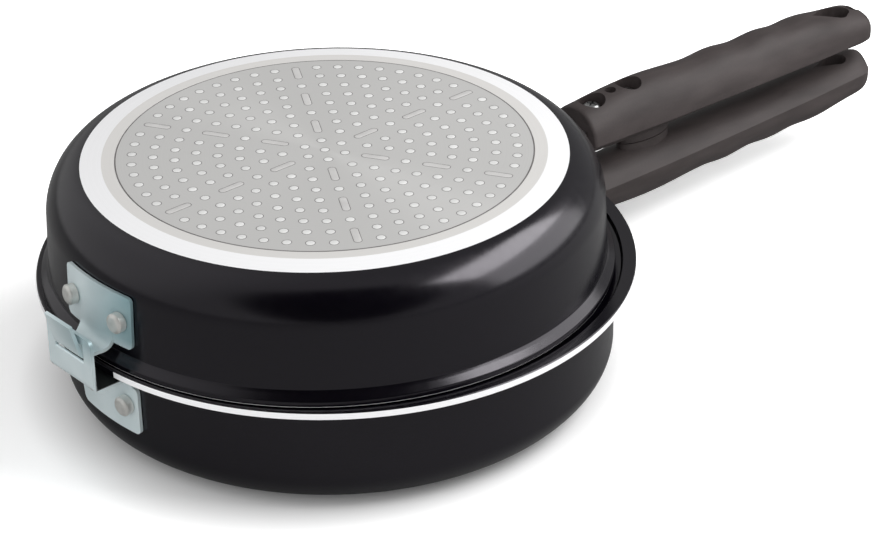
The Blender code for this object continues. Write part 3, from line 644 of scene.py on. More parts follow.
def make_pan(pan, bowl_top, edge, inner_edge, is_bare, dark_degrees_near_hinge=0.0):
    """Spins the profile. A bare edge is bright, except within the given degrees to each side of the
    hinge, where it gets the enamel finish and stays dark."""
    profile = rounded(np.vstack([inner_bowl(pan, bowl_top), edge, outer_shoulder(pan),
                                 base_section]))
    radius, height = ((profile[:-1] + profile[1:]) / 2).T
    inside = np.cumsum(radius >= inner_edge) == 0
    bare = is_bare(radius, height)
    on_bevel = (height < bevel_drop - bevel_margin) & (radius > base_flat_radius)
    on_flat = (height < recess_depth + flat_margin) & (radius <= base_flat_radius)
    zones = np.select([inside, bare | on_bevel, on_flat], [coated, bright, machined], default=0)
    zones = np.repeat(zones[:, None], turning_steps, axis=1)
    turn = np.arange(turning_steps) * 360 / turning_steps
    zones[bare[:, None] & (np.abs(turn - 180) < dark_degrees_near_hinge)[None, :]] = 0
    points, faces = spun(profile, pan.centre, pan.base, pan.up)
    piece = new_object(f"{pan.stem}_pan_turned", points, faces, zones.ravel())
    flatten(piece)
    dress(piece, pan, "black_enamel", [enamel, coating, pan.bright, pan.machined],
          f"{pan.stem}_pan")


print("finishes: 0 enamel,", coated, "coating,", bright, "bright,", machined, "machined")

# %% [markdown]
# ### The lower pan
# Its broad rim carries the upper pan's lip. The rim's edge is the bright band that the photo
# shows, and the step inside it keeps the upper pan in place.

# %% Lower pan
rim_top_fall = 0.4 * mm
rim_inner_radius = 117.2 * mm
rim_step_depth = 1.8 * mm
rim_step_run = 0.7 * mm
rim_ledge_width = 3.0 * mm
rim_underside_rise = 1.0 * mm
rim_fillet = 1.6 * mm
edge_round = 0.35 * mm
fine_round = 0.2 * mm
edge_margin = 0.1 * mm
# The rim's edge is left dark for this many degrees to each side of the hinge.
hinge_side = 6.0
ledge = rim_top - rim_top_fall - rim_step_depth
step_radius = rim_inner_radius - rim_step_run
rim_underside = lower.mouth - rim_underside_rise
lower_rim = [
    (step_radius - rim_ledge_width, ledge - rim_top_fall, edge_round),
    (step_radius, ledge, fine_round),
    (rim_inner_radius, rim_top - rim_top_fall, edge_round),
    (rim_radius - rim_top_fall, rim_top, fine_round),
    (rim_radius, rim_top - rim_top_fall, fine_round),
    (rim_radius, lower.mouth, edge_round),
    (wall_mouth_radius + rim_fillet, rim_underside, edge_round),
    (wall_mouth_radius, rim_underside - rim_fillet, rim_fillet / 2),
]


def on_rim_edge(radius, height):
    return (radius > rim_radius - edge_margin) & (height < rim_top - rim_top_fall)


make_pan(lower, ledge - rim_edge_height, lower_rim, step_radius - rim_ledge_width - edge_round,
         on_rim_edge, hinge_side)

# %% [markdown]
# ### The upper pan
# The same section turned over, with a taller shoulder and a thin flared lip instead of the rim.
# Its profile is measured from its own base, so it is placed with its height running down.

# %% Upper pan
lip_edge_height = 2.5 * mm
lip_flare_height = 2.4 * mm
lip_foot_step = 0.8 * mm
lip_fillet = 1.0 * mm
lip_bare = 0.45 * mm
lip_round = 0.5 * mm
lip_edge_round = 0.15 * mm
flare_round = 0.3 * mm
lip_fillet_round = 0.4 * mm
edge_foot = upper.mouth - lip_edge_height
flare_foot = edge_foot - lip_flare_height
flare_wall = wall_radius(upper, flare_foot)
lip_inner_edge = flare_wall - wall_thickness / 2
upper_lip = [
    (lip_inner_edge, upper.mouth, lip_round),
    (lip_radius - rim_top_fall, upper.mouth, lip_edge_round),
    (lip_radius, upper.mouth - rim_top_fall, lip_edge_round),
    (lip_radius, edge_foot, lip_round),
    (flare_wall + lip_foot_step, flare_foot, flare_round),
    (flare_wall, flare_foot - lip_fillet, lip_fillet_round),
]


def on_lip(radius, height):
    return (height > upper.mouth - lip_bare) & (radius > lip_radius - lip_bare)


make_pan(upper, edge_foot, upper_lip, lip_inner_edge, on_lip)

# %% [markdown]
# ## The base discs and their pattern
# A steel disc with punched holes is pressed into each base, and the soft aluminium fills the
# holes. Ring n has 6n places, which is the hexagonal rhythm of the real disc. Along the six arms
# most dots give way to slots. Each fill is a low dome inside a thin dark line, a seam partly in
# painted shade, and a ring of painted shadow lies over the gap round the disc.

# %% Discs
disc_radius = 83.9 * mm
disc_thickness = 0.8 * mm
disc_edge = 0.2 * mm
disc_profile = rounded([
    (0, 0, 0),
    (disc_radius, 0, disc_edge),
    (disc_radius, disc_thickness, disc_edge),
    (0, disc_thickness, 0),
])
for pan in pans:
    disc = new_object(f"{pan.stem}_base_disc_spun",
                      *spun(disc_profile, pan.centre, pan.base, pan.up))
    flatten(disc)
    dress(disc, pan, "perforated_steel", [pan.disc_steel], f"{pan.stem}_base_disc")

# %% Where the dots and slots lie
hole_spacing = 8.6 * mm
pattern_rings = 9
pattern_arms = 6
dot_rings_on_arms = (1, 4, 7)
slot_rings = (2.5, 5.5, 8.5)


def polar(reach, angle):
    """(r cos a, r sin a) for each reach r and angle a."""
    return np.column_stack([reach * np.cos(angle), reach * np.sin(angle)])


def dot_places():
    """Polar places (n s, 60 k / n degrees) for ring n and k = 0 to 6n - 1, less the arms."""
    every = np.arange(1, pattern_rings + 1)
    ring = np.repeat(every, pattern_arms * every)
    first = np.concatenate([np.arange(pattern_arms * n) for n in every])
    kept = (first % ring != 0) | np.isin(ring, dot_rings_on_arms)
    angle = first[kept] / ring[kept] * np.pi / 3
    return np.vstack([[0, 0], polar(ring[kept] * hole_spacing, angle)])


arm_angle, arm_ring = np.meshgrid(np.arange(pattern_arms) * np.pi / 3, slot_rings)
slot_angles = arm_angle.ravel()
slots = polar(arm_ring.ravel() * hole_spacing, slot_angles)
dots = dot_places()
print(len(dots), "dots and", len(slots), "slots")

# %% Fills and their outlines
dot_size = (1.75 * mm, 1.75 * mm)
slot_size = (5.65 * mm, 1.5 * mm)
outline_width = 0.28 * mm
# Painted shadow: a dark ring over the gap round the disc.
line_width = 0.25 * mm
line_height = 0.012 * mm
fill_sides = 16
# Rows of a fill, from its middle out: share of the outline, extra reach, and height in mm.
fill_rows = ((0.0, 0.0, 0.16), (0.55, 0.0, 0.15), (0.88, 0.0, 0.09), (1.0, 0.0, 0.02))
outline_rows = ((1.0, 0.0, 0.02), (1.0, 1.0, 0.012))
# Under the lower pan the fills are pressed nearly flat, so that it stands on its base.
lower.fill_height = 0.25
upper.fill_height = 1.0


def fill_points(size, rows):
    """Rows of an oval: share times the oval, pushed outwards by the extra reach."""
    angle = np.linspace(0, 2 * np.pi, fill_sides, endpoint=False) + np.pi / fill_sides
    half_length, half_width = size
    shift = (half_length - half_width) * np.sign(np.cos(angle))
    share, extra, height = (np.array(column)[:, None] for column in zip(*rows))
    width = share * half_width + extra * outline_width
    along = width * np.cos(angle) + shift * np.where(share > 0, 1, 0)
    return np.stack([along, width * np.sin(angle), height * mm + 0 * along], axis=-1)


def copied(shape, places, angles):
    """Copies of one small grid, each turned by its angle and moved to its place."""
    cosine, sine = np.cos(angles)[:, None, None], np.sin(angles)[:, None, None]
    x = shape[None, ..., 0] * cosine - shape[None, ..., 1] * sine + places[:, 0][:, None, None]
    y = shape[None, ..., 0] * sine + shape[None, ..., 1] * cosine + places[:, 1][:, None, None]
    points = np.stack([x, y, np.broadcast_to(shape[None, ..., 2], x.shape)], axis=-1)
    rows, columns = shape.shape[:2]
    start = rows * columns * np.arange(len(places))[:, None, None]
    faces = grid_faces(rows, columns, wrap=True)[None] + start
    return points, faces.reshape(-1, 4)


def make_fills(pan):
    """Bright dots, duller slots, seams partly in painted shade, and a painted shadow round the
    disc.
    """
    unturned = np.zeros(len(dots))
    painted_rim_shadow = np.array([[disc_radius - line_width, line_height],
                         [disc_radius + line_width, line_height]])
    groups = (
        ("dots", "pressed_aluminium", [copied(fill_points(dot_size, fill_rows), dots, unturned)]),
        ("slots", "pressed_steel",
         [copied(fill_points(slot_size, fill_rows), slots, slot_angles)]),
        ("edges", "seam_and_painted_shade",
         [copied(fill_points(dot_size, outline_rows), dots, unturned),
          copied(fill_points(slot_size, outline_rows), slots, slot_angles), spun(painted_rim_shadow)]),
    )
    for word, metal, patches in groups:
        points, faces = joined(*patches)
        points = points * [1, 1, -pan.up * pan.fill_height] + [pan.centre, 0, pan.base]
        piece = new_object(f"{pan.stem}_disc_{word}", points, faces)
        dress(piece, pan, "perforated_steel", [metals[metal]])


for pan in pans:
    make_fills(pan)

# %% [markdown]
# ## Sheet steel: the hook and the loop
# Both hinge plates are one sheet, cut flat and bent. So each is modelled as the middle surface of
# that sheet: rows follow the bent path, columns run across, and Solidify gives the thickness.
# Against the wall the sheet is curved like the wall: at a distance y from the middle it falls
# back by R - sqrt(R^2 - y^2). The fall fades out where the sheet leaves the wall.

# %% Paths and widths of a sheet
sheet_thickness = 1.5 * mm
sheet_edge = 0.22 * mm
plate_corner = 2.2 * mm
wall_gap = seam_gap + sheet_thickness / 2
corner_rows = 7
sheet_columns = 41


def arc(centre, radius, start, end, count):
    """Points (x, z) on an arc between two angles."""
    return np.array(centre) + polar(radius, np.linspace(start, end, count))


def corner_levels(low, high, radius):
    """Levels from low to high, close together where the corners are rounded."""
    near = radius * (1 - np.cos(np.linspace(0, np.pi / 2, corner_rows)))
    return np.concatenate([low + near, high - near[::-1]])


def corner_width(level, low, high, half_width, radius):
    """Half width of a rounded rectangle at a level: the corner's circle eats into it."""
    depth = radius - np.minimum(np.minimum(level - low, high - level), radius)
    return half_width - radius + np.sqrt(np.maximum(radius ** 2 - depth ** 2, 0))


def wall_path(pan, levels, gap=wall_gap):
    """Middle line of a plate on a pan's wall at -x, at the given world levels."""
    radii = wall_radius(pan, (levels - pan.base) * pan.up) + gap
    return np.column_stack([pan.centre - radii, levels])


def sheet_patch(path, left, right, fall, wall, columns=sheet_columns):
    """Point (i, j): across y from left to right at row i, at the path's x plus the fall
    fade(i) (R - sqrt(R^2 - y^2)), and at the path's z."""
    share = np.linspace(0, 1, columns)[None, :]
    y = left[:, None] * (1 - share) + right[:, None] * share
    sag = wall - np.sqrt(wall ** 2 - y ** 2)
    x = path[:, :1] + fall[:, None] * sag
    z = np.broadcast_to(path[:, 1:2], y.shape)
    return np.stack([x, y, z], axis=-1), grid_faces(len(path), columns)


print("a sheet is a path, a width and a wall to lie against")

# %% [markdown]
# ### The loop on the lower pan
# From the wall the sheet turns out into a narrow shelf under the rim, and up into the loop. The
# window's lower edge is the bar that the hook hangs on, so its top is round. The plate reaches
# further to the left than to the right, and most at its top.

# %% Loop
loop_low, loop_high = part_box("loop_bracket")
loop_x = loop_low.x + sheet_thickness / 2
loop_half_width = 14.5 * mm
loop_plate_half_width = loop_high.y
loop_plate_left = 4.5 * mm
loop_left_share = 0.6
loop_plate_top = 41.7 * mm
loop_neck_rise = 0.05 * mm
loop_shelf = 46.4 * mm
loop_bend = 2.2 * mm + sheet_thickness / 2
loop_corner = 2.8 * mm
bar_top = 57.9 * mm
window_top = 65.5 * mm
window_half_width = 9.4 * mm
bend_rows, upright_rows, bar_steps = 9, 12, 13


def make_loop():
    plate = wall_path(lower, corner_levels(loop_low.z, loop_plate_top, plate_corner))
    wall_x = plate[-1, 0]
    neck = [[wall_x, loop_plate_top + loop_neck_rise], [wall_x, loop_shelf - loop_bend]]
    out = arc((wall_x - loop_bend, loop_shelf - loop_bend), loop_bend, 0, np.pi / 2,
              bend_rows)[1:]
    low = loop_shelf + loop_bend
    turn = arc((loop_x + loop_bend, low), loop_bend, 1.5 * np.pi, np.pi, bend_rows)
    straight = np.linspace(low, loop_high.z - loop_corner, upright_rows)[1:]
    corner = corner_levels(low, loop_high.z, loop_corner)[corner_rows + 1:]
    levels = np.append(straight, corner)
    upright = np.column_stack([np.full(len(levels), loop_x), levels])
    path = np.vstack([plate, neck, out, turn, upright])
    width = np.full(len(path), loop_half_width)
    width[:len(plate)] = corner_width(plate[:, 1], loop_low.z, loop_plate_top,
                                      loop_plate_half_width, plate_corner)
    width[-len(levels):] = corner_width(levels, 0, loop_high.z, loop_half_width, loop_corner)
    fall = np.clip((loop_shelf - path[:, 1]) / (loop_shelf - loop_plate_top), 0, 1)
    fall[-len(turn) - len(upright):] = 0
    left = width.copy()
    climb = (plate[:, 1] - loop_low.z) / (loop_plate_top - loop_low.z)
    left[:len(plate)] += loop_plate_left * (loop_left_share + climb)
    return new_object("loop_bracket_sheet", *sheet_patch(path, -width, left, fall, -wall_x))


def window_cutter():
    """Side view (x, z) of the window, less the bar's half round top, drawn along y."""
    half = sheet_thickness / 2
    bar = arc((loop_x, bar_top - half), half, 0, np.pi, bar_steps)
    reach = 3 * sheet_thickness
    outline = np.vstack([[loop_x - reach, bar_top - half], [loop_x - reach, window_top],
                         [loop_x + reach, window_top], [loop_x + reach, bar_top - half], bar])
    return prism(outline, -window_half_width, window_half_width)


loop = make_loop()
thicken(loop, sheet_thickness)
cut(loop, window_cutter(), Matrix.Rotation(math.pi / 2, 4, "X"))
soften(loop, sheet_edge)
dress(loop, lower, "zinc_plated_steel", [metals["zinc_plate"]], "loop_bracket")

# %% [markdown]
# ### The hook on the upper pan
# The middle of the plate bends out into a tongue, which passes through the window and turns up.
# The two sides of the plate stay on the wall. So the sheet is three patches: two sides and a
# middle, which share their points down to the bend and part below it.

# %% Hook
hook_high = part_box("hook_bracket")[1]
hook_plate_low = 62.1 * mm
hook_plate_high = hook_high.z
tongue_half_width = 10.4 * mm
tip_half_width = 8.3 * mm
tongue_play = 0.4 * mm
tongue_root = 5.0 * mm + sheet_thickness / 2
tip_bend = 3.0 * mm + sheet_thickness / 2
tip_inset = 2.4 * mm
tip_lean = math.radians(15.0)
tip_top = 74.4 * mm
neck_start = 118.5 * mm
neck_end = 126.5 * mm
gap_above, gap_below = 0.5 * mm, 0.2 * mm
hook_bend_rows, tip_rows = 14, 6
tongue_columns, side_columns = 25, 13


def make_hook():
    level = bar_top + tongue_play + sheet_thickness / 2
    bend_start = level + tongue_root
    plate_levels = corner_levels(hook_plate_low, hook_plate_high, plate_corner)[::-1]
    above = np.append(plate_levels[plate_levels > bend_start + gap_above], bend_start)
    below = plate_levels[plate_levels < bend_start - gap_below]
    upper_part = wall_path(upper, above)
    wall_x = upper_part[-1, 0]
    root = arc((wall_x - tongue_root, bend_start), tongue_root, 0, -np.pi / 2,
               hook_bend_rows)[1:]
    tip = arc((loop_x + tip_inset, level + tip_bend), tip_bend, -np.pi / 2, -np.pi + tip_lean,
              hook_bend_rows)
    rise = np.linspace(0, tip_top - tip[-1, 1], tip_rows)[1:]
    last = np.column_stack([tip[-1, 0] - rise * math.tan(tip_lean), tip[-1, 1] + rise])
    path = np.vstack([upper_part, root, tip, last])
    narrow = np.clip((-path[:, 0] - neck_start) / (neck_end - neck_start), 0, 1)
    narrow = narrow * narrow * (3 - 2 * narrow)
    width = tongue_half_width - narrow * (tongue_half_width - tip_half_width)
    fall = np.ones(len(path))
    fall[len(above):] = np.clip((path[len(above):, 1] - level) / tongue_root, 0, 1) ** 2
    fall[-len(tip) - len(last):] = 0
    wall = -wall_x + upper.centre
    levels = np.append(above, below)
    sides = wall_path(upper, levels)
    outer = corner_width(levels, hook_plate_low, hook_plate_high, hook_high.y, plate_corner)
    inner = np.full(len(levels), tongue_half_width)
    straight = np.ones(len(levels))
    return new_object("hook_bracket_sheet", *joined(
        sheet_patch(path, -width, width, fall, wall, tongue_columns),
        sheet_patch(sides, inner, outer, straight, wall, side_columns),
        sheet_patch(sides, -outer, -inner, straight, wall, side_columns)))


hook = make_hook()
thicken(hook, sheet_thickness)
soften(hook, sheet_edge)
dress(hook, upper, "zinc_plated_steel", [metals["zinc_plate"]], "hook_bracket")

# %% [markdown]
# ## Rivets
# The rivets are aluminium, set with a flat tool: the head is a low button with a soft shoulder.
# A rivet stands square to the sloping wall, so it is turned about its own axis and then tipped.

# %% A rivet and its place
rivet_radius = 4.1 * mm
rivet_height = 3.9 * mm
# The loop leaves the tool little room over its left rivet, which is set flatter.
hidden_radius = 3.4 * mm
hidden_height = 1.8 * mm
shank_radius = 2.2 * mm
inner_head_radius = 4.2 * mm
inner_head_height = 1.2 * mm
tang_thickness = 2.5 * mm
small_steps = 48
# Corners of a head: share of its radius, share of its height, and rounding in mm.
rivet_head = ((0, 1, 0), (0.70, 0.95, 0.4), (1, 0.74, 0.4), (1, 0, 0.1))
inner_head = ((1, 0, 0.1), (1, 0.6, 0.4), (0.6, 1, 0.4), (0, 1, 0))


def head_corners(rows, radius, foot, height):
    """Corners (share of the radius, foot + share of the height, rounding)."""
    share, rise, rounding = np.array(rows).T
    return np.column_stack([share * radius, foot + rise * height, rounding * mm])


def rivet_section(thickness, radius, height):
    """Outer head, shank and inner head. The wall's outer face is at height zero."""
    foot = seam_gap + thickness + seam_gap
    inner = -wall_thickness - seam_gap
    return rounded(np.vstack([
        head_corners(rivet_head, radius, foot, height),
        [(shank_radius, foot, 0), (shank_radius, inner, 0)],
        head_corners(inner_head, inner_head_radius, inner, -inner_head_height),
    ]))


def radial_place(pan, height, offset, side):
    """Place on a wall whose own z points outwards: side is 1 at +x and -1 at -x."""
    radius = wall_radius(pan, height)
    angle = math.asin(offset / radius)
    if side < 0:
        angle = math.pi - angle
    wall_height = pan.mouth - shoulder_rise - pan.shoulder_height
    lean = (wall_mouth_radius - pan.foot_radius) / wall_height
    tip_out = Matrix.Rotation(math.pi / 2 + math.atan(lean), 4, "Y")
    own = Matrix.Rotation(angle, 4, "Z") @ Matrix.Translation((radius, 0, height)) @ tip_out
    turned_over = Matrix.Identity(4) if pan.up > 0 else Matrix.Rotation(math.pi, 4, "X")
    return Matrix.Translation((pan.centre, 0, pan.base)) @ turned_over @ own


def make_rivets(stem, pan, side, height, offset, thickness):
    """A pair, one on each side of the middle. The left one lies at +y."""
    for word, sign in (("left", 1), ("right", -1)):
        head = (rivet_radius, rivet_height)
        if (stem, word) == ("loop", "left"):
            head = (hidden_radius, hidden_height)
        profile = rivet_section(thickness, *head)
        rivet = new_object(f"{stem}_rivet_{word}_set", *spun(profile, steps=small_steps))
        rivet.data.transform(radial_place(pan, height, sign * pan.up * offset, side))
        flatten(rivet)
        dress(rivet, pan, "rivet_aluminium", [metals["rivet_aluminium"]], f"{stem}_rivet_{word}")


# Name, pan, side, height on the pan's wall, distance from the middle, and the plate's thickness.
rivet_facts = (
    ("loop", lower, -1, 33.2 * mm, 11.0 * mm, sheet_thickness),
    ("hook", upper, -1, 27.9 * mm, 14.6 * mm, sheet_thickness),
    ("lower_tang", lower, 1, 32.0 * mm, 15.5 * mm, tang_thickness),
    ("upper_tang", upper, 1, 32.8 * mm, 15.5 * mm, tang_thickness),
)
for facts in rivet_facts:
    make_rivets(*facts)

# %% [markdown]
# ## Handles
# A handle is a loft: at each distance from its root it has a half width, a depth on its outer
# side, where the fingers rest in shallow waves, and a flatter inner side. The outer half of a
# section is a half oval. The inner half is a parabola, which meets it at a crease.

# %% The handle's section along its length
handle_length = 188.5 * mm
handle_half_width = 15.0 * mm
handle_outer_depth = 17.6 * mm
handle_inner_depth = 6.0 * mm
# Shares of the length, each with the share of the half width or depth there.
width_shares = ((0, 0.93), (0.13, 0.97), (0.32, 1.0), (0.74, 0.95), (0.93, 0.87), (1, 0.86))
outer_shares = ((0, 0.81), (0.13, 0.96), (0.23, 1.0), (0.39, 0.91), (0.47, 0.98), (0.55, 0.91),
                (0.63, 0.98), (0.7, 0.90), (0.775, 0.915), (0.87, 0.795), (0.95, 0.71), (1, 0.65))
inner_shares = ((0, 1.35), (0.2, 1.35), (0.45, 1.1), (0.8, 1.0), (1, 1.05))
tip_radius = 13.0 * mm
tip_round = 10.0 * mm
tip_inner_round = 4.0 * mm
tip_squareness = 2.4
root_round = 2.0 * mm
# The power of the crown falls by flat_top between these shares of the length.
flat_top = 0.45
flat_from, flat_full = 0.62, 0.81
# Rows near the root, along the grip and round the tip.
root_rows, grip_rows, cap_rows = 7, 110, 22
handle_sides = 96


def through(table, share):
    """Smooth curve through the table's points: cubic, with each slope set by its neighbours."""
    place, value = np.array(table).T
    index = np.clip(np.searchsorted(place, share, side="left") - 1, 0, len(place) - 2)
    before, after = np.maximum(index - 1, 0), np.minimum(index + 2, len(place) - 1)
    run = place[index + 1] - place[index]
    rise_in = run * (value[index + 1] - value[before]) / (place[index + 1] - place[before])
    rise_out = run * (value[after] - value[index]) / (place[after] - place[index])
    t = (share - place[index]) / run
    ease = t * t * (3 - 2 * t)
    return (value[index] + (value[index + 1] - value[index]) * ease
            + (t - 1) * t * (rise_in * (t - 1) + rise_out * t))


def handle_grid():
    """Point (i, j): x = distance i, y = w cos a, z = d sin(a)^f outside or -e sin(a)^2 inside.
    The power f falls from 1 towards the tip, where the top is flatter round the hole. Each size
    ends in a quarter round, (1 - c^q)^(1/2), with c from 0 to 1 over the last radius."""
    near = root_round * (1 - np.cos(np.linspace(0, np.pi / 2, root_rows)))
    straight = np.linspace(root_round, handle_length - tip_radius, grip_rows)[1:]
    end = handle_length - tip_radius * (1 - np.sin(np.linspace(0, np.pi / 2, cap_rows)[1:]))
    distance = np.concatenate([near, straight, end])
    share = distance / handle_length
    edge = np.clip(1 - distance / root_round, 0, 1)
    shrink = root_round * (1 - np.sqrt(1 - edge ** 2)) / 2

    def size(full, table, radius):
        cap = np.clip((distance - handle_length + radius) / radius, 0, 1)
        return (full * through(table, share) * np.sqrt(1 - cap ** tip_squareness) - shrink)[:, None]

    angle = 2 * np.pi * np.arange(handle_sides) / handle_sides
    rise = np.sin(angle)[None, :]
    flatter = 1 - flat_top * np.clip((share - flat_from) / (flat_full - flat_from), 0, 1)
    crown = np.maximum(rise, 0) ** flatter[:, None]
    deep = np.where(rise >= 0, size(handle_outer_depth, outer_shares, tip_round) * crown,
                    -size(handle_inner_depth, inner_shares, tip_inner_round) * rise ** 2)
    across = size(handle_half_width, width_shares, tip_radius) * np.cos(angle)[None, :]
    points = np.stack([distance[:, None] + 0 * across, across, deep], axis=-1)
    root = np.broadcast_to([0, 0, np.mean(deep[0])], (1, handle_sides, 3))
    return np.concatenate([root, points])


print("handle grid:", handle_grid().shape)

# %% [markdown]
# ### Holes, bosses and screws
# Two screws sit in round recesses on the outer side, with a moulding hole between them. A
# teardrop hole at the tip takes a hook on the wall. It has a wider recess round it, and a small
# one beyond. The bosses on the inner sides hold the magnets that keep the pan shut.

# %% Cut and place the handles
handle_root_x = 134.0 * mm
screw_distances = (10.5 * mm, 32.5 * mm)
screw_recess_radius = 6.0 * mm
screw_recess_floor = 10.5 * mm
moulding_hole_radius = 2.6 * mm
moulding_hole_floor = handle_outer_depth - 5.0 * mm
hanging_point = 15.0 * mm
hanging_hole = (5.0 * mm, 171.5 * mm)
hanging_recess = (6.6 * mm, 168.0 * mm)
hanging_recess_floor = 2.0 * mm
tip_recess = (4.0 * mm, 2.8 * mm, 181.0 * mm)
tip_recess_floor = 8.0 * mm
boss_distance = 42.5 * mm
boss_half_length = 15.0 * mm
boss_half_width = 6.4 * mm
boss_root = -1.0 * mm
boss_gap = 0.4 * mm
magnet_radius = 4.2 * mm
magnet_thickness = 3.0 * mm
overrun = 4.0 * mm
handle_edge = 0.3 * mm
handle_crease = 32.0


def handle_place(pan, droop):
    """Frame of a handle, whose own z points to its outer side."""
    place = Matrix.Translation((handle_root_x, 0, pan.handle_height))
    place = place @ Matrix.Rotation(droop, 4, "Y")
    return place @ Matrix.Rotation(math.pi, 4, "X") if pan.outer < 0 else place


def teardrop(radius, centre, count=40):
    """A circle towards the tip, and its two tangents to a point towards the pan."""
    tangent = math.acos(radius / hanging_point)
    circle = polar(radius, np.linspace(tangent - np.pi, np.pi - tangent, count))
    return np.vstack([circle, [-hanging_point, 0]]) + [centre, 0]


def boss_outline(count=64):
    """An ellipse, longer along the handle."""
    circle = polar(1.0, np.linspace(0, 2 * np.pi, count, endpoint=False))
    return circle * [boss_half_length, boss_half_width] + [boss_distance, 0]


def boss_face(pan):
    """Level of a boss's face over its handle's root, half a gap from the other boss."""
    upper_there = upper.handle_height - math.sin(upper.droop) * boss_distance
    middle = (upper_there + lower.handle_height) / 2
    return boss_gap / 2 - pan.outer * (pan.handle_height - middle)


def make_handle(pan):
    """Lofts the handle, puts it in place, adds its boss and cuts its recesses."""
    place, level = handle_place(pan, pan.droop), handle_place(pan, 0)
    grid = handle_grid()
    faces = grid_faces(len(grid), handle_sides, wrap=True)
    handle = new_object(f"{pan.stem}_handle_moulded", grid, faces)
    handle.data.transform(place)
    face = boss_face(pan)
    cut(handle, prism(boss_outline(), face, boss_root), level, "UNION")
    pocket = oval(magnet_radius + seam_gap, magnet_radius + seam_gap, boss_distance)
    cut(handle, prism(pocket, face - overrun, face + magnet_thickness + 2 * seam_gap), level)
    top = handle_outer_depth + overrun
    recesses = [(oval(screw_recess_radius, screw_recess_radius, distance), screw_recess_floor)
                for distance in screw_distances]
    recesses += [
        (oval(moulding_hole_radius, moulding_hole_radius, sum(screw_distances) / 2),
         moulding_hole_floor),
        (teardrop(*hanging_hole), -top),
        (teardrop(*hanging_recess), hanging_recess_floor),
        (oval(*tip_recess), tip_recess_floor),
    ]
    for outline, floor in recesses:
        cut(handle, prism(outline, floor, top), place)
    soften(handle, handle_edge, handle_crease)
    dress(handle, pan, "moulded_handle", [moulding], f"{pan.stem}_handle")


for pan in pans:
    make_handle(pan)

# %% Screws
screw_radius = 4.2 * mm
screw_height = 2.6 * mm
screw_shank = 1.8 * mm
drive_half_width = 0.5 * mm
drive_half_length = 0.55 * screw_radius
drive_depth = 1.2 * mm
drive_turn = 20
screw_edge = 0.08 * mm
screw_end = 1.2 * mm
screw_end_round = 0.2 * mm
screw_head = ((0, 1, 0), (0.6, 0.9, 0.5), (0.92, 0.55, 0.5), (1, 0.2, 0.3), (1, 0, 0.1))
tang_level = 4.0 * mm
tang_tongue_thickness = 3.0 * mm
screw_seat = screw_recess_floor + seam_gap
screw_top = screw_seat + screw_height
screw_tail = tang_level - tang_tongue_thickness / 2 - screw_end
screw_profile = rounded(np.vstack([
    head_corners(screw_head, screw_radius, screw_seat, screw_height),
    [(screw_shank, screw_seat, 0), (screw_shank, screw_tail, screw_end_round), (0, screw_tail, 0)],
]))


def make_screw(pan, number, distance):
    """A domed head with a cross cut into it, on a plain shank."""
    name = f"{pan.stem}_handle_screw_{number}"
    screw = new_object(f"{name}_driven", *spun(screw_profile, steps=small_steps))
    for length, width in ((drive_half_length, drive_half_width),
                          (drive_half_width, drive_half_length)):
        outline = box_outline(-length, length, width)
        cut(screw, prism(outline, screw_top - drive_depth, screw_top + overrun))
    place = handle_place(pan, pan.droop) @ Matrix.Translation((distance, 0, 0))
    screw.data.transform(place @ Matrix.Rotation(math.radians(drive_turn * number), 4, "Z"))
    soften(screw, screw_edge)
    dress(screw, pan, "screw_steel", [metals["screw_steel"]], name)


for pan in pans:
    for number, distance in enumerate(screw_distances, 1):
        make_screw(pan, number, distance)

# %% [markdown]
# ## Tangs and magnets
# A steel plate on the wall carries each handle on a flat tongue. Little of them shows, but they
# are what one looks at when the pan is open or seen from the side.

# %% Tangs
tang_half_width = 23.0 * mm
tang_height = 20.0 * mm
tang_edge = 0.3 * mm
tang_tongue_half_width = 8.0 * mm
tang_tongue_reach = 42.0 * mm


def make_tang(pan):
    """Plate on the wall at +x, mirrored from the path at -x, and a rounded tongue."""
    low, high = pan.tang_low, pan.tang_low + tang_height
    levels = corner_levels(low, high, plate_corner)
    path = wall_path(pan, levels, seam_gap + tang_thickness / 2)
    wall = pan.centre - path[len(path) // 2, 0]
    width = corner_width(levels, low, high, tang_half_width, plate_corner)
    points, faces = sheet_patch(path, -width, width, np.ones(len(path)), wall)
    points = points * [-1, 1, 1] + [2 * pan.centre, 0, 0]
    tang = new_object(f"{pan.stem}_handle_tang_bent", points, faces)
    thicken(tang, tang_thickness, even=False)
    start = wall + pan.centre - handle_root_x
    outline = box_outline(start, tang_tongue_reach, tang_tongue_half_width)
    half = tang_tongue_thickness / 2
    cut(tang, prism(outline, tang_level - half, tang_level + half), handle_place(pan, pan.droop),
        "UNION")
    soften(tang, tang_edge)
    dress(tang, pan, "tang_steel", [metals["tang_steel"]], f"{pan.stem}_handle_tang")


for pan in pans:
    make_tang(pan)

# %% Magnets
magnet_edge = 0.3 * mm


def make_magnet(pan):
    """A nickel-plated button in the boss, its rim lightly rounded."""
    face = boss_face(pan) + seam_gap
    back = face + magnet_thickness
    profile = rounded([(0, face, 0), (magnet_radius, face, magnet_edge),
                       (magnet_radius, back, magnet_edge), (0, back, 0)])
    magnet = new_object(f"{pan.stem}_magnet_button",
                        *spun(profile, boss_distance, steps=small_steps))
    magnet.data.transform(handle_place(pan, 0))
    flatten(magnet)
    dress(magnet, pan, "magnet_metal", [metals["magnet_nickel"]], f"{pan.stem}_magnet")


for pan in pans:
    make_magnet(pan)

# %% [markdown]
# ## Floor, light and camera
# The pan stands on a white floor, which keeps its soft shadow, deepened beside the pan by painted
# shadow. Glossy surfaces see the floor as a painted dim reflection. Two softboxes stand one over
# the other to the camera's right, and a pale studio surrounds the rest, darker behind the camera,
# where the black enamel needs something dark to show. Camera rays see plain white.

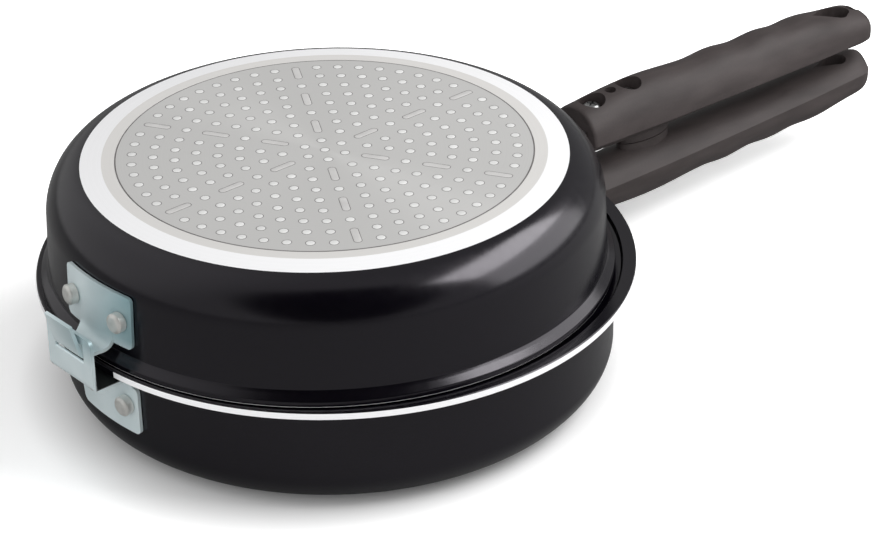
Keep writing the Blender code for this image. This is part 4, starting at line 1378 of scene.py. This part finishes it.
# %% Floor
floor_reach = 4.0
floor_drop = 0.05 * mm
plain_white = (0.80, 0.80, 0.80)
# Painted reflection: glossy rays see the floor as this dim grey.
painted_dim_reflection = (0.28, 0.28, 0.28)
# How far the camera's floor is lifted, at these distances from the pan's axis. The small lift
# beside the pan paints a darker shadow there.
lift_and_painted_shadow = ((0.105, 0.90), (0.135, 1.75), (0.40, 1.80), (0.80, 3.0))


def make_floor():
    """Diffuse white. What the camera sees of it is lifted to the background's white, and lifted
    less beside the pan, which paints a darker shadow there. Black enamel and other glossy surfaces
    mirror it dimmed, a painted dim reflection."""
    corners = np.array(box_outline(-floor_reach, floor_reach, floor_reach))
    floor = new_object("floor", np.column_stack([corners, np.full(4, -floor_drop)]),
                       [[0, 1, 2, 3]])
    material = bpy.data.materials.new("floor_white")
    material.use_nodes = True
    tree = material.node_tree
    tree.nodes.clear()
    paths = add_node(tree, "LightPath").outputs
    away = vectors(tree, "LENGTH", object_place(tree), result="Value")
    lift = lift_and_painted_shadow[0][1]
    for (start, low), (end, high) in zip(lift_and_painted_shadow, lift_and_painted_shadow[1:]):
        lift = combine(tree, "ADD", ramp(tree, away, start, end, 0.0, high - low), lift)
    lifted = add_node(tree, "CombineXYZ", {"X": lift, "Y": lift, "Z": lift}).outputs[0]
    other = blend(tree, paths["Is Glossy Ray"], plain_white, painted_dim_reflection)
    colour = blend(tree, paths["Is Camera Ray"], other, lifted)
    paper = add_node(tree, "BsdfDiffuse", {"Color": colour})
    add_node(tree, "OutputMaterial", {"Surface": paper.outputs[0]})
    floor.data.materials.append(material)


make_floor()
print("floor", 2 * floor_reach, "m wide")

# %% World
# Azimuth, elevation, where the glow starts and is full (cosines), and its strength.
studio_glows = (
    ((-124, 36), 0.74, 0.88, -0.36),
    ((118, 30), 0.55, 0.95, 0.24),
    ((20, 30), 0.50, 0.97, -0.10),
)
studio_level = 0.37
ambient_level = 0.20
fill_level = 1.6
fill_direction = (-160, 5)


def direction(azimuth, elevation):
    """Unit vector for an azimuth from +x towards +y and an elevation, in degrees."""
    a, e = math.radians(azimuth), math.radians(elevation)
    return (math.cos(e) * math.cos(a), math.cos(e) * math.sin(a), math.sin(e))


def make_world():
    """Mirrors see the glows, matt surfaces an even light with a fill, and the camera white."""
    world = bpy.data.worlds.new("studio")
    bpy.context.scene.world = world
    world.use_nodes = True
    tree = world.node_tree
    tree.nodes.clear()
    way = add_node(tree, "TexCoord").outputs["Generated"]

    def towards(place):
        return vectors(tree, "DOT_PRODUCT", way, direction(*place), "Value")

    level = studio_level
    for place, start, full, strength in studio_glows:
        glow = ramp(tree, towards(place), start, full, 0.0, strength, "SMOOTHSTEP")
        level = combine(tree, "ADD", glow, level)
    paths = add_node(tree, "LightPath").outputs
    ambient = ramp(tree, towards(fill_direction), 0.0, 1.0, ambient_level, fill_level)
    lit = blend_values(tree, paths["Is Diffuse Ray"], level, ambient)
    strength = blend_values(tree, paths["Is Camera Ray"], lit, 1.0)
    light = add_node(tree, "Background", {"Color": (1, 1, 1, 1), "Strength": strength})
    add_node(tree, "OutputWorld", {"Surface": light.outputs[0]})


make_world()
print("world with", len(studio_glows), "soft glows")

# %% Softboxes
pan_middle = Vector((0.0, 0.0, 0.06))
# Azimuth and elevation, distance, width, height and radiance.
softboxes = {
    "softbox_high": ((-37, 45), 1.37, 1.35, 0.56, 5.7),
    "softbox_low": ((-37, 19), 1.31, 1.35, 0.62, 1.9),
}


def make_softbox(name, place, distance, width, height, radiance):
    """Area lamp that faces the pan. Its power is radiance times pi times its area."""
    lamp = bpy.data.lights.new(name, "AREA")
    lamp.shape = "RECTANGLE"
    lamp.size = width
    lamp.size_y = height
    lamp.energy = radiance * math.pi * width * height
    holder = add_to_scene(name, lamp)
    away = Vector(direction(*place))
    holder.location = pan_middle + distance * away
    holder.rotation_euler = away.to_track_quat("Z", "Y").to_euler()
    print(f"{name}: {lamp.energy:.1f} W")


for name, facts in softboxes.items():
    make_softbox(name, *facts)

# %% [markdown]
# ### The camera
# The camera was solved from the rims' ellipses. It stands 1.2 m away, 29 degrees up, with a long
# lens, so the pan looks almost parallel.

# %% Camera
camera_place = (-0.6307259, -0.7943769, 0.6153542)
camera_right = Vector((0.7516178, -0.6594125, -0.0156786))
camera_up = Vector((0.3342106, 0.3602351, 0.8709386))
focal_pixels = 2825.4
picture_width = 873
sensor_width = 36.0
near_clip = 0.05
camera = bpy.data.cameras.new("camera")
camera.sensor_fit = "HORIZONTAL"
camera.sensor_width = sensor_width
camera.lens = focal_pixels * sensor_width / picture_width
camera.clip_start = near_clip
holder = add_to_scene("camera", camera)
turn = Matrix((camera_right, camera_up, camera_right.cross(camera_up))).transposed().to_4x4()
holder.matrix_world = Matrix.Translation(camera_place) @ turn
bpy.context.scene.camera = holder
bpy.context.scene.view_settings.view_transform = "Standard"
print(f"lens {camera.lens:.1f} mm")
